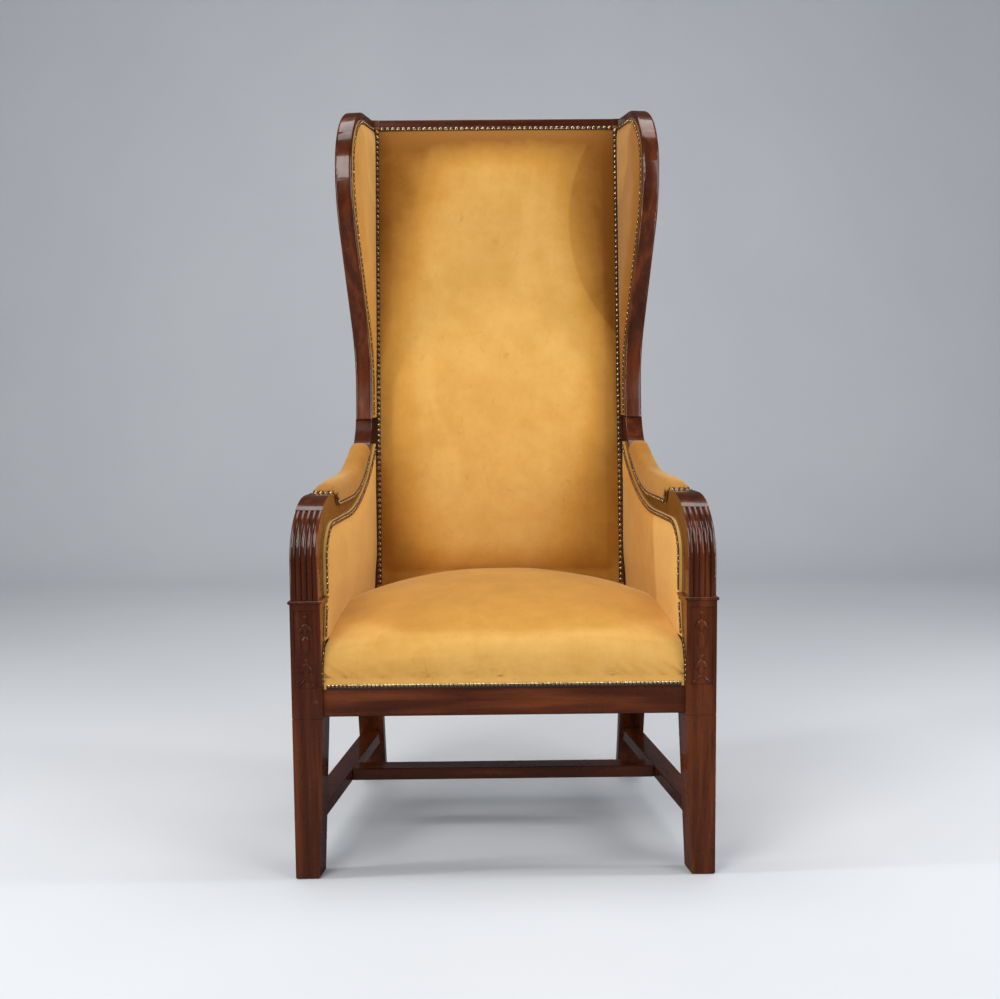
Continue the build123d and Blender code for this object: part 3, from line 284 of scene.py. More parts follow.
    def finish(self, **inputs: object) -> bpy.types.Material:
        """Sets the shader's inputs.

        Args:
            inputs: values by socket name, with its words joined by underscores.

        Returns:
            The finished material.
        """
        for key, value in inputs.items():
            self.feed(self.surface.inputs[key.replace("_", " ")], value)
        return self.material


# Finishes. A noise is given as its scale, detail, roughness and distortion

@dataclass(frozen=True)
class PolishedMahogany:
    """Reddish-brown wood with fine pores and ribbon figure under a glossy polish."""

    grain: Grain = Grain.UPRIGHT
    dark: tuple = (0.010, 0.0022, 0.0009)
    middle: tuple = (0.062, 0.0130, 0.0034)
    warm: tuple = (0.205, 0.0480, 0.0115)
    stretch: float = 0.07
    figure: tuple = (22.0, 4.0, 0.55, 0.9)
    streaks: tuple = (95.0, 3.0, 0.6, 0.2)
    shading: tuple = (5.0, 2.0, 0.5)
    pores: tuple = (520.0, 2.0, 0.6)
    pore_levels: tuple = (0.62, 0.74)
    wear: tuple = (38.0, 4.0, 0.6)
    wear_levels: tuple = (0.45, 0.75)
    tone_levels: tuple = (0.28, 0.5, 0.72)
    ripple_height: float = 0.0008
    pore_depth: float = 0.0002
    roughness: float = 0.22
    coat: float = 0.55
    coat_roughness: float = 0.06
    specular: float = 0.20

    def material(self) -> bpy.types.Material:
        """Builds the wood for one grain direction.

        Returns:
            The material.
        """
        shader = Shader("mahogany_" + self.grain.value)
        long = self.stretch
        place = shader.place({Grain.UPRIGHT: (1, 1, long), Grain.ACROSS: (long, 1, 1),
                              Grain.ALONG: (1, long, 1)}[self.grain])
        figure = shader.cloud(place, *self.figure)
        streak = shader.cloud(place, *self.streaks)
        tone = figure * 0.55 + streak * 0.25 + shader.cloud(shader.place(), *self.shading) * 0.2
        body = shader.ramp(tone, *zip(self.tone_levels, (self.dark, self.middle, self.warm)))
        pores = shader.mask(shader.cloud(place, *self.pores), *self.pore_levels)
        body = shader.mix(pores * 0.45, body, self.dark)
        worn = shader.mask(shader.cloud(shader.place(), *self.wear), *self.wear_levels)
        ripple = shader.bump(figure * 0.5 + streak * 0.5, 0.10, self.ripple_height)
        relief = shader.bump(pores, 0.12, -self.pore_depth, ripple)
        return shader.finish(Base_Color=body, Roughness=worn * 0.12 + self.roughness, Normal=relief,
                             Coat_Weight=self.coat, Coat_Roughness=self.coat_roughness,
                             Specular_IOR_Level=self.specular)


@dataclass(frozen=True)
class Stroke:
    """A patch that changes the velvet's tone, for pile laid another way and for painted shade: an ellipsoid in
    metres, soft between two shares of its size.
    """

    center: tuple
    size: tuple
    inner: float
    outer: float
    depth: float


class Nap(Enum):
    """How the pile lies, and where shade is painted, on each part of the chair."""

    BACK = "back"
    SEAT = "seat"
    ARM = "arm"
    PAD = "pad"
    WING = "wing"
    PLAIN = "plain"

    @property
    def strokes(self) -> tuple:
        """Patches that change the velvet's tone: unmarked ones are pile laid another way, the others are marked
        as painted shade, painted light and plain darkening; a positive depth darkens inside the patch, a
        negative one outside it.

        Returns:
            The patches, in the order in which they are laid.
        """
        wide = 10.0
        return {
            Nap.BACK: (Stroke((0.435, 0.0, 1.085), (0.300, wide, 0.300), 0.985, 1.005, 0.10),
                       # painted shade: darkens the back towards its sides, top and bottom, where the crowned
                       # padding turns away from the light
                       Stroke((-0.005, 0.0, 0.80), (0.250, wide, 0.680), 0.50, 1.0, -0.40),
                       Stroke((0.250, 0.0, 1.10), (0.090, wide, 0.420), 0.10, 1.0, 0.12),
                       Stroke((-0.250, 0.0, 1.210), (0.180, wide, 0.230), 0.50, 1.15, 0.10),
                       # darkens a band along the top of the back
                       Stroke((0.0, 0.0, 1.295), (0.320, wide, 0.120), 0.20, 1.0, 0.56)),
            # painted shade: darkens the seat's top against its front roll
            Nap.SEAT: (Stroke((0.02, 0.0, 0.530), (0.80, wide, 0.140), 0.93, 1.03, 0.15),
                       # painted light: everything but the front roll is a little darker, so the roll reads as
                       # lit
                       Stroke((0.0, -0.27, 0.36), (0.50, 0.13, 0.12), 0.35, 1.0, -0.06)),
            Nap.ARM: (Stroke((0.27, 0.13, 0.44), (0.30, 0.24, 0.26), 0.97, 1.01, 0.20),),
            # darkens the arm pads inside a wide soft ellipsoid
            Nap.PAD: (Stroke((0.0, 0.02, 0.66), (wide, 0.30, 0.30), 0.9, 1.4, 0.40),),
            Nap.WING: (Stroke((0.0, 0.24, 1.22), (wide, 0.09, 0.11), 0.97, 1.02, -0.10),
                       # painted shade: darkens the inside of each wing, the right one much more than the left
                       Stroke((0.27, 0.20, 1.05), (0.16, 0.60, 0.60), 0.80, 1.0, 0.46),
                       Stroke((-0.27, 0.20, 1.05), (0.16, 0.60, 0.60), 0.80, 1.0, 0.14)),
            Nap.PLAIN: (),
        }[self]


@dataclass(frozen=True)
class GoldVelvet:
    """Mustard velvet with lighter and darker patches of stroked pile and of painted shade."""

    nap: Nap = Nap.PLAIN
    deep: tuple = (0.235, 0.085, 0.006)
    middle: tuple = (0.560, 0.270, 0.045)
    bright: tuple = (0.780, 0.455, 0.130)
    tone_levels: tuple = (0.12, 0.50, 0.80)
    base_tone: float = 0.42
    broad: tuple = (2.6, 2.0, 0.45, 0.8)
    hand: tuple = (6.0, 3.0, 0.5, 1.2)
    mottle: tuple = (26.0, 6.0, 0.75)
    rubbing: tuple = (46.0, 7.0, 0.78, 1.6)
    rub_levels: tuple = (0.57, 0.72)
    rub_depth: float = 0.30
    pile: tuple = (2600.0, 2.0, 0.6)
    pile_height: float = 0.0004
    crush: tuple = (160.0, 4.0, 0.6, 0.5)
    crush_height: float = 0.0010
    roughness: float = 0.72
    sheen: float = 0.45
    sheen_roughness: float = 0.38
    sheen_tint: tuple = (1.0, 0.78, 0.42, 1.0)
    specular: float = 0.2

    def material(self) -> bpy.types.Material:
        """Builds the velvet.

        Returns:
            The material.
        """
        shader = Shader("velvet_" + self.nap.value)
        plain = shader.place()
        broad = shader.cloud(plain, *self.broad)
        hand = shader.cloud(shader.place((1, 1, 0.55), (0.3, 0.5, 0.2)), *self.hand)
        sweep = shader.mask(hand, 0.40, 0.60)
        tone = broad * 0.18 + sweep * 0.05 + shader.cloud(plain, *self.mottle) * 0.24 + self.base_tone
        # each patch darkens the tone, for pile laid another way and for painted shade as marked at the patches
        for nap_and_shade_patch in self.nap.strokes:
            inside = shader.mask(shader.reach(nap_and_shade_patch.center, nap_and_shade_patch.size), nap_and_shade_patch.inner, nap_and_shade_patch.outer)
            if nap_and_shade_patch.depth > 0:
                tone = tone - (1.0 - inside) * nap_and_shade_patch.depth
            else:
                tone = tone + inside * nap_and_shade_patch.depth
        body = shader.ramp(tone, *zip(self.tone_levels, (self.deep, self.middle, self.bright)))
        rubbed = shader.cloud(shader.place((1, 1, 0.6), (0.2, 0.4, 0.3)), *self.rubbing)
        body = shader.mix(shader.mask(rubbed, *self.rub_levels) * self.rub_depth, body, self.deep)
        crush = shader.cloud(plain, *self.crush)
        soft = shader.bump(crush, 0.14, self.crush_height)
        nap = shader.bump(shader.cloud(plain, *self.pile), 0.22, self.pile_height, soft)
        return shader.finish(Base_Color=body, Roughness=crush * 0.12 + self.roughness, Normal=nap,
                             Sheen_Weight=self.sheen, Sheen_Roughness=self.sheen_roughness,
                             Sheen_Tint=self.sheen_tint, Specular_IOR_Level=self.specular)


@dataclass(frozen=True)
class AgedBrass:
    """Brass darkened to bronze, or a brighter pale gold for the seat's front row."""

    name: str = "aged_brass"
    bright: tuple = (0.42, 0.29, 0.16)
    dull: tuple = (0.065, 0.032, 0.016)
    patina: tuple = (150.0, 4.0, 0.6)
    patina_levels: tuple = (0.44, 0.72)
    pits: tuple = (1800.0, 3.0, 0.6)
    pit_depth: float = 0.0002
    roughness: float = 0.13

    def material(self) -> bpy.types.Material:
        """Builds the brass.

        Returns:
            The material.
        """
        shader = Shader(self.name)
        place = shader.place()
        patina = shader.mask(shader.cloud(place, *self.patina), *self.patina_levels)
        body = shader.mix(patina * 0.9, self.bright, self.dull)
        pits = shader.bump(shader.cloud(place, *self.pits), 0.12, self.pit_depth)
        return shader.finish(Base_Color=body, Metallic=1.0 - patina * 0.1,
                             Roughness=patina * 0.16 + self.roughness, Normal=pits)


@dataclass(frozen=True)
class PlainWeave:
    """Woven cloth of crossing threads, for webbing, hessian, lining and the dark braid that also stands for
    shade under the nails.
    """

    name: str
    thread: tuple
    gap: tuple
    pitch: float
    waves_in_pitch: float = 3.2
    slub: tuple = (60.0, 3.0)
    roughness: float = 0.9
    relief: float = 0.0006

    def material(self) -> bpy.types.Material:
        """Builds the weave.

        Returns:
            The material.
        """
        shader = Shader(self.name)
        ways = []
        for axis in ("X", "Y"):
            settings = {"wave_type": "BANDS", "bands_direction": axis}
            inputs = {"Vector": shader.place(), "Scale": 1.0 / self.pitch / self.waves_in_pitch,
                      "Distortion": 0.5, "Detail": 1.0}
            ways.append(Value(shader, shader.node("ShaderNodeTexWave", settings, inputs).outputs["Fac"]))
        weave = ways[0] * ways[1]
        body = shader.mix(weave * 0.7 + shader.cloud(shader.place(), *self.slub) * 0.3, self.gap, self.thread)
        normal = shader.bump(weave, 0.4, self.relief)
        return shader.finish(Base_Color=body, Roughness=self.roughness, Normal=normal)


class Cloth(Enum):
    """Plain cloths: colour of the threads and of the gaps, and the pitch in metres."""

    WEBBING = ((0.36, 0.27, 0.15), (0.16, 0.11, 0.06), 0.004)
    HESSIAN = ((0.42, 0.31, 0.17), (0.14, 0.09, 0.05), 0.0025)
    LINING = ((0.03, 0.028, 0.026), (0.008, 0.008, 0.008), 0.0012)
    # dark brown braid; its dark colour also stands for the painted shade between and beside the nail heads
    BRAID = ((0.085, 0.036, 0.014), (0.020, 0.009, 0.004), 0.0014)


@dataclass
class FinishSet:
    """Every finish on the chair, built once."""

    made: dict[str, bpy.types.Material] = field(default_factory=dict)

    def wood(self, grain: Grain) -> bpy.types.Material:
        """Mahogany of one grain direction."""
        return self._once("wood_" + grain.value, PolishedMahogany(grain).material)

    def velvet(self, nap: Nap = Nap.PLAIN) -> bpy.types.Material:
        """Velvet with the pile patches and painted shade of one part of the chair."""
        return self._once("velvet_" + nap.value, GoldVelvet(nap).material)

    def brass(self, rubbed: bool = False) -> bpy.types.Material:
        """Nail heads' brass: dark bronze, or the brighter pale gold of the seat's front row."""
        kind = AgedBrass("rubbed_brass", (0.86, 0.70, 0.44), (0.22, 0.13, 0.06)) if rubbed else AgedBrass()
        return self._once(kind.name, kind.material)

    def weave(self, cloth: Cloth) -> bpy.types.Material:
        """Webbing, hessian, lining or the braid whose dark colour also stands for shade under the nails."""
        name = cloth.name.lower()
        return self._once(name, PlainWeave(name, *cloth.value).material)

    def _once(self, name: str, build: Callable[[], bpy.types.Material]) -> bpy.types.Material:
        """Builds a material the first time that it is asked for.

        Args:
            name: name that it is kept under.
            build: what makes it.

        Returns:
            The material.
        """
        if name not in self.made:
            self.made[name] = build()
        return self.made[name]


# Lines of the frame, in millimetres, as the timber is set out

@dataclass(frozen=True)
class Plan:
    """Setting-out lines shared by the timber and its covers."""

    front_y: float
    front_half: float = 336.0
    toe: float = 60.0 / 419.5
    set_in: float = 1.0
    support_width: float = 44.0
    arm_narrowing: float = 13.5 / 457.0
    post_inner: float = 288.0
    post_inner_toe: float = 0.118
    rail_top: float = 322.0
    stuffing_base: float = 326.0
    skirt: float = 308.5
    seat_nails: float = 313.5
    stile_front_depth: float = 419.5
    stile_base_thickness: float = 38.0
    stile_narrowing: float = 8.0
    kink: float = 300.0
    crest: float = 1283.0
    rake: float = math.radians(8.5)
    arm_joint: float = 716.0
    arm_cover: float = 4.4
    underside: float = 558.0
    under_front_depth: float = 100.0
    under_front_radius: float = 50.0
    under_sweep_start: float = 210.0
    under_sweep_radius: float = 380.0
    rail_level: float = 592.0
    rail_sweep_start: float = 255.0
    rail_sweep_run: float = 240.0
    rail_sweep_radius: float = 250.0
    wing_thickness: float = 31.0
    wing_flare: float = math.radians(8.0)
    crest_rise: float = 437.0
    crest_reach: float = 178.0
    crest_radius: float = 127.0
    breast_radius: float = 228.0
    breast_center: float = -50.0
    hollow_radius: float = 227.0
    hollow_center: float = 252.0
    wing_turn: float = math.radians(30.0)
    wing_foot_reach: float = 25.0
    border_points: tuple = (12, 30, 90)

    def at(self, x: float, depth: float, height: float) -> Vector:
        """A place in metres from millimetres of width, depth and height."""
        return Vector((x * MM, self.front_y + depth * MM, height * MM))

    def frame_outer(self, depth: float) -> float:
        """Outer face of the arm timbers."""
        return self.front_half - self.toe * depth - self.set_in

    def arm_inner(self, depth: float) -> float:
        """Inner face of the arm timbers."""
        return self.frame_outer(depth) - self.support_width + self.arm_narrowing * depth

    def arm_face(self, depth: float) -> float:
        """Face of the inside arm cover."""
        return self.arm_inner(depth) - self.arm_cover

    def post_face(self, depth: float) -> float:
        """Inner face of the front post."""
        return self.post_inner - self.post_inner_toe * depth

    def stile(self, height: float) -> float:
        """Depth of the front face of the stiles."""
        return self.stile_front_depth + math.tan(self.rake) * (height - self.kink)

    def stile_rear(self, height: float) -> float:
        """Depth of the back face of the stiles."""
        share = (height - self.kink) / (self.crest - self.kink)
        return self.stile(height) + self.stile_base_thickness - self.stile_narrowing * share

    def stile_front_height(self, depth: float, gap: float) -> float:
        """Height at which a cover comes to the stiles' front face, less a gap."""
        return self.kink + (depth + gap - self.stile_front_depth) / math.tan(self.rake)

    def back_point(self, x: float, ahead: float, height: float) -> Vector:
        """A place a distance ahead of the stiles' front face."""
        depth = self.stile(height) - ahead * math.cos(self.rake)
        return self.at(x, depth, height + ahead * math.sin(self.rake))

    def wing_outer(self) -> float:
        """Outer face of the wing where it meets the stile."""
        return self.frame_outer(self.stile(self.arm_joint))

    def wing_point(self, across: float, reach: float, rise: float, side: int) -> Vector:
        """A place on the flared wing.

        Args:
            across: distance inside its outer face.
            reach: distance forward of the stile.
            rise: distance along the stile, from the arm's joint.
            side: 1 for the right wing, -1 for the left.

        Returns:
            The place in metres.
        """
        foot = Vector((self.wing_outer(), self.stile(self.arm_joint), self.arm_joint))
        forward = Vector((0, -math.cos(self.rake), math.sin(self.rake)))
        along = Vector((0, math.sin(self.rake), math.cos(self.rake)))
        flat = Vector((-across, 0, 0)) + forward * reach
        turned = foot + Matrix.Rotation(self.wing_flare, 3, along) @ flat + along * rise
        return self.at(side * turned.x, turned.y, turned.z)

    def rail_height(self, depth: float) -> float:
        """Top of the arm rail."""
        run = min(max(0.0, depth - self.rail_sweep_start), self.rail_sweep_run)
        return self.rail_level + self.rail_sweep_radius - math.sqrt(self.rail_sweep_radius ** 2 - run ** 2)

    def under_height(self, depth: float, lap: float = 0.0) -> float:
        """Underside of the arm timbers.

        Args:
            depth: where it is read.
            lap: how much higher than the timber's edge.

        Returns:
            The height.
        """
        if depth < self.under_front_depth:
            run = self.under_front_depth - depth
            rise = math.sqrt(max(0.0, (self.under_front_radius + lap) ** 2 - run ** 2))
            return self.underside - self.under_front_radius + rise
        run = max(0.0, depth - self.under_sweep_start)
        rise = math.sqrt((self.under_sweep_radius - lap) ** 2 - run ** 2)
        return self.underside + self.under_sweep_radius - rise

    def wing_crest(self, inset: float, drop: float) -> tuple[float, float]:
        """Radius of the crest's arc and how far forward its center stands.

        Args:
            inset: distance inside the wing's edge.
            drop: how much lower the crest is than that.

        Returns:
            The radius and the center's reach.
        """
        radius = self.crest_radius - inset - drop
        return radius, self.crest_reach - inset - radius

    def wing_top(self, inset: float, drop: float) -> float:
        """Rise, at the stile, of the level line on top of the wing."""
        radius, center = self.wing_crest(inset, drop)
        return self.crest_rise + radius / math.cos(self.rake) + center * math.tan(self.rake)

    def wing_reach(self, rise: float, inset: float = 0.0, drop: float = 0.0) -> float:
        """How far the wing stands forward at a height along the stile.

        Args:
            rise: the height along the stile.
            inset: distance inside the wing's edge.
            drop: how much lower the crest is than that.

        Returns:
            The reach, or -1 above the crest.
        """
        crest, center = self.wing_crest(inset, drop)
        breast, hollow = self.breast_radius - inset, self.hollow_radius + inset
        if rise > self.crest_rise + crest:
            return -1.0
        if rise > self.crest_rise:
            return center + math.sqrt(crest ** 2 - (rise - self.crest_rise) ** 2)
        lean, level = math.sin(self.wing_turn), math.cos(self.wing_turn)
        top_rise = self.crest_rise - breast * lean
        if rise > top_rise:
            return self.breast_center + math.sqrt(breast ** 2 - (self.crest_rise - rise) ** 2)
        start_reach = self.breast_center + self.breast_radius * level
        end_reach = self.hollow_center - self.hollow_radius * level
        straight = (start_reach - end_reach) / math.tan(self.wing_turn)
        middle_rise = self.crest_rise - self.breast_radius * lean - straight
        center_rise = middle_rise - self.hollow_radius * lean
        low_rise = center_rise + hollow * lean
        if rise > low_rise:
            share = (rise - low_rise) / (top_rise - low_rise)
            low_reach = self.hollow_center - hollow * level
            return low_reach + share * (self.breast_center + breast * level - low_reach)
        if rise > center_rise:
            return self.hollow_center - math.sqrt(hollow ** 2 - (rise - center_rise) ** 2)
        return self.wing_foot_reach - inset

    def level_reach(self, rise: float, inset: float, drop: float) -> float:
        """How far the wing stands forward along a level line.

        Args:
            rise: where the line leaves the stile.
            inset: distance inside the wing's edge.
            drop: how much lower the crest is than that.

        Returns:
            The reach, found by stepping back from beyond the wing.
        """
        reach, stride, slack = 200.0, 2.0, 0.01
        slope = math.tan(self.rake)
        while stride > slack:
            while reach > 0.0 and self.wing_reach(rise - reach * slope, inset, drop) < reach:
                reach -= stride
            reach += stride
            stride /= 4.0
        return reach

    def wing_border(self, inset: float, drop: float) -> list[Point]:
        """Line along the wing's border, from the stile over the crest and down to its foot.

        Args:
            inset: distance inside the wing's edge.
            drop: how much lower the crest is than that.

        Returns:
            Reach and rise of each point.
        """
        start, foot = 3.0, 4.0
        on_top, on_crest, on_front = self.border_points
        radius, center = self.wing_crest(inset, drop)
        slope = math.tan(self.rake)
        top = self.wing_top(inset, drop)
        level = center + radius * math.sin(self.rake)
        line = [(reach, top - reach * slope) for reach in steps(start, level, on_top)]
        line += [(center + radius * math.cos(t), self.crest_rise + radius * math.sin(t))
                 for t in steps(math.pi / 2 - self.rake, 0.0, on_crest)[1:]]
        rises = steps(self.crest_rise, foot, on_front)[1:]
        return line + [(self.wing_reach(rise, inset, drop), rise) for rise in rises]


# Mesh helpers

def smooth_between(places: Sequence[float], values: Sequence[float], at: float) -> float:
    """Value on a smooth curve through given stations.

    Args:
        places: rising stations.
        values: the value at each station.
        at: where to read the curve.

    Returns:
        The value there.
    """
    last = len(places) - 1
    at = min(max(at, places[0]), places[last])
    i = max(0, min(last - 1, sum(1 for p in places if p <= at) - 1))
    span = places[i + 1] - places[i]
    t = (at - places[i]) / span

    def rate(k: int) -> float:
        """Slope between a station and the next."""
        return (values[k + 1] - values[k]) / (places[k + 1] - places[k])

    def slope(k: int) -> float:
        """Slope of the curve at a station.

        Args:
            k: number of the station.

        Returns:
            The slope, which is 0 where the values turn back.
        """
        if k == 0 or k == last:
            return rate(min(k, last - 1))
        before, after = rate(k - 1), rate(k)
        return 0.0 if before * after < 0 else (before + after) / 2

    a, b = slope(i) * span, slope(i + 1) * span
    return ((2 * t ** 3 - 3 * t ** 2 + 1) * values[i] + (t ** 3 - 2 * t ** 2 + t) * a
            + (3 * t ** 2 - 2 * t ** 3) * values[i + 1] + (t ** 3 - t ** 2) * b)


def steps(low: float, high: float, count: int) -> list[float]:
    """Evenly spaced numbers from low to high, both included."""
    return [low + (high - low) * i / (count - 1) for i in range(count)]


def eased(low: float, high: float, count: int, power: float) -> list[float]:
    """Numbers from low to high, set closer together at both ends.

    Args:
        low: first number.
        high: last number.
        count: how many.
        power: how much closer, from 1 for even steps.

    Returns:
        The numbers.
    """
    shares = []
    for i in range(count):
        t = 2.0 * i / (count - 1) - 1.0
        shares.append((1.0 + math.copysign(1.0 - (1.0 - abs(t)) ** power, t)) / 2)
    return [low + (high - low) * share for share in shares]


def held(share: float) -> float:
    """A share kept between 0 and 1."""
    return min(max(share, 0.0), 1.0)


def rounded(share: float) -> float:
    """Height of padding at a share of the way in from its edge, kept between 0 and 1."""
    return 1.0 - (1.0 - held(share)) ** 2


def hump(distance: float, spread: float) -> float:
    """Bell curve that is 1 at no distance."""
    return math.exp(-(distance / spread) ** 2)


def meshed(form: bmesh.types.BMesh, name: str, sharp: float | None = None) -> bpy.types.Mesh:
    """Turns a form into a mesh, and frees the form.

    Args:
        form: the form.
        name: name of the mesh.
        sharp: angle in degrees above which an edge stays crisp, or None for flat faces.

    Returns:
        The mesh.
    """
    mesh = bpy.data.meshes.new(name)
    form.to_mesh(mesh)
    form.free()
    if sharp is not None:
        smoothed(mesh, sharp)
    return mesh


def smoothed(mesh: bpy.types.Mesh, sharp: float) -> None:
    """Shades a mesh smooth, with its edges above an angle in degrees crisp."""
    mesh.shade_smooth()
    mesh.set_sharp_from_angle(angle=math.radians(sharp))


def new_piece(name: str, mesh: bpy.types.Mesh, material: bpy.types.Material) -> bpy.types.Object:
    """Puts a mesh in the scene.

    Args:
        name: name of the piece and of its mesh.
        mesh: the mesh.
        material: its one material.

    Returns:
        The piece.
    """
    mesh.name = name
    mesh.materials.clear()
    mesh.materials.append(material)
    return linked(bpy.data.objects.new(name, mesh))


def linked(thing: bpy.types.Object) -> bpy.types.Object:
    """Links an object to the scene and returns it."""
    bpy.context.scene.collection.objects.link(thing)
    return thing


def lofted(rings: Sequence[Sequence[Vector]], sharp: float = 50.0) -> bpy.types.Mesh:
    """Closed skin through rings of equal length, capped at both ends.

    Args:
        rings: closed loops of points, from one end of the form to the other.
        sharp: angle in degrees above which an edge stays crisp.

    Returns:
        The mesh, with its faces pointing outwards.
    """
    form = bmesh.new()
    rows = [[form.verts.new(point) for point in ring] for ring in rings]
    count = len(rings[0])
    for first, second in zip(rows, rows[1:]):
        for i in range(count):
            j = (i + 1) % count
            form.faces.new((first[i], first[j], second[j], second[i]))
    caps = [form.faces.new(rows[0]), form.faces.new(list(reversed(rows[-1])))]
    bmesh.ops.triangulate(form, faces=caps)
    bmesh.ops.recalc_face_normals(form, faces=form.faces)
    return meshed(form, "form", sharp)


def joined_copy(node: str, merge: float = 0.02 * MM, flatness: float = 0.6) -> bpy.types.Mesh:
    """Mesh of a CAD node with its loose triangles merged into whole faces.

    Args:
        node: the node.
        merge: distance within which corners are one.
        flatness: angle in degrees within which faces are one.

    Returns:
        A new mesh.
    """
    form = bmesh.new()
    form.from_mesh(frame["nodes"][node].data)
    bmesh.ops.remove_doubles(form, verts=form.verts, dist=merge)
    bmesh.ops.dissolve_limit(form, angle_limit=math.radians(flatness), verts=form.verts, edges=form.edges)
    return meshed(form, node + "_form")


def flattened(piece: bpy.types.Object) -> None:
    """Turns a piece's modifiers into plain mesh.

    Args:
        piece: the piece, which gets a new mesh.
    """
    done = bpy.data.meshes.new_from_object(piece.evaluated_get(bpy.context.evaluated_depsgraph_get()))
    piece.modifiers.clear()
    piece.data = done


def place_piece(piece: bpy.types.Object, nodes: Iterable[str] = ()) -> None:
    """Rides a piece on the chair, hides the CAD nodes that it stands for and logs that it is placed.

    Args:
        piece: the object.
        nodes: CAD nodes that it replaces.
    """
    if nodes:
        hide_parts(*nodes)
    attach(piece, "root")
    log.info("placed %s", piece.name)


# Timber

@dataclass
class Timber:
    """The mahogany frame: eased edges, and the carved drops on the front posts."""

    finishes: FinishSet
    plan: Plan
    easing: float = 1.2
    easings: dict[str, float] = field(default_factory=lambda: {
        "front_post": 0.9, "post_collar": 0.7, "arm_support": 0.5, "wing": 1.6, "arm_rail": 3.0,
        "joint_pegs": 0.4, "rear_post": 1.6, "side_stretcher": 1.6, "cross_stretcher": 1.6})
    sharp: float = 32.0
    drop_height: float = 0.9
    drop_bed: float = 2.0
    drop_sharp: float = 60.0
    drop_middle: float = 312.0
    husk_heights: tuple = (408.0, 344.25)
    husk: tuple = (19.5, 6.8)
    husk_stem: float = 19.0
    husk_tilt: float = 34.0
    drop_leaves: tuple = ((382.0, 28.0, 12.4), (338.0, 25.5, 8.4), (426.0, 7.0, 6.8), (356.0, 8.0, 7.6))
    tail: tuple = (7.0, 321.0, 19.0, 3.2)
    tail_tilt: float = 49.4
    edge_half: float = 0.05
    leaf_rows: int = 9
    leaf_power: float = 1.7
    leaf_stations: tuple = (-1.0, -0.6, 0.0, 0.6, 1.0)
    easing_steps: int = 2

    def grain_of(self, node: str) -> Grain:
        """Direction of the grain in one node.

        Args:
            node: the timber's node.

        Returns:
            The direction.
        """
        if node.startswith(("front_post", "rear_post", "wing", "post_collar", "arm_support")):
            return Grain.UPRIGHT
        if node.startswith(("side", "arm_rail")):
            return Grain.ALONG
        return Grain.ACROSS

    def dress(self) -> None:
        """Replaces each timber with a copy whose edges are eased."""
        for node in sorted(frame["nodes"]):
            slots = [part["material_slot"] for part in frame["record"]["subparts"] if part["node"] == node]
            if slots != ["mahogany"]:
                continue
            width = next((size for start, size in self.easings.items() if node.startswith(start)), self.easing)
            piece = new_piece(node + "_polished", joined_copy(node), self.finishes.wood(self.grain_of(node)))
            self.ease(piece, width * MM)
            place_piece(piece, [node])

    def ease(self, piece: bpy.types.Object, width: float) -> None:
        """Rounds the sharp edges of a timber.

        Args:
            piece: the timber.
            width: width of the rounding, in metres.
        """
        bevel = piece.modifiers.new("easing", "BEVEL")
        bevel.width = width
        bevel.segments = self.easing_steps
        bevel.limit_method = "ANGLE"
        bevel.angle_limit = math.radians(self.sharp)
        bevel.use_clamp_overlap = True
        bevel.harden_normals = True
        smoothed(piece.data, self.sharp)
        flattened(piece)

    def leaf(self, form: bmesh.types.BMesh, center: Point, size: Point, tilt: float, side: int) -> None:
        """Adds one rounded leaf of the carved drop.

        Args:
            form: mesh to add to.
            center: place in width and height, in millimetres.
            size: length and width of the leaf.
            tilt: lean in degrees.
            side: 1 for the right post, -1 for the left.
        """
        length, width = size
        turn = math.radians(tilt)
        rows = []
        for along in steps(-1.0, 1.0, self.leaf_rows):
            fullness = math.sqrt(max(0.0, 1 - abs(along) ** self.leaf_power))
            half = width / 2 * fullness + self.edge_half
            row = []
            for across in self.leaf_stations:
                x = half * across
                z = along * length / 2
                swell = (1 - across ** 2) * (1 - along ** 4)
                depth = self.drop_bed - swell * (self.drop_bed + self.drop_height)
                px = center[0] + x * math.cos(turn) - z * math.sin(turn)
                pz = center[1] + x * math.sin(turn) + z * math.cos(turn)
                row.append(form.verts.new(self.plan.at(side * px, depth, pz)))
            rows.append(row)
        for first, second in zip(rows, rows[1:]):
            for a, b, c, d in zip(first, first[1:], second[1:], second):
                form.faces.new((a, b, c, d))
        rim = [row[0] for row in rows] + rows[-1][1:]
        rim += [row[-1] for row in reversed(rows[:-1])] + rows[0][3:0:-1]
        form.faces.new(list(dict.fromkeys(rim)))

    def carve(self, side: Side) -> None:
        """Husk drop in the sunk panel of one front post.

        Args:
            side: the post.
        """
        x = self.drop_middle
        form = bmesh.new()
        for height in self.husk_heights:
            for sway in (-1, 0, 1):
                shift = sway * self.husk_stem * math.sin(math.radians(self.husk_tilt)) / 2
                self.leaf(form, (x - shift, height), self.husk, -sway * self.husk_tilt, side.value)
        for height, length, width in self.drop_leaves:
            self.leaf(form, (x, height), (length, width), 0.0, side.value)
        out, height, length, width = self.tail
        for sway in (-1, 1):
            self.leaf(form, (x + sway * out, height), (length, width), sway * self.tail_tilt, side.value)
        bmesh.ops.recalc_face_normals(form, faces=form.faces)
        mesh = meshed(form, "drop", self.drop_sharp)
        piece = new_piece("carved_drop_" + side.word, mesh, self.finishes.wood(Grain.UPRIGHT))
        place_piece(piece)


# Upholstery

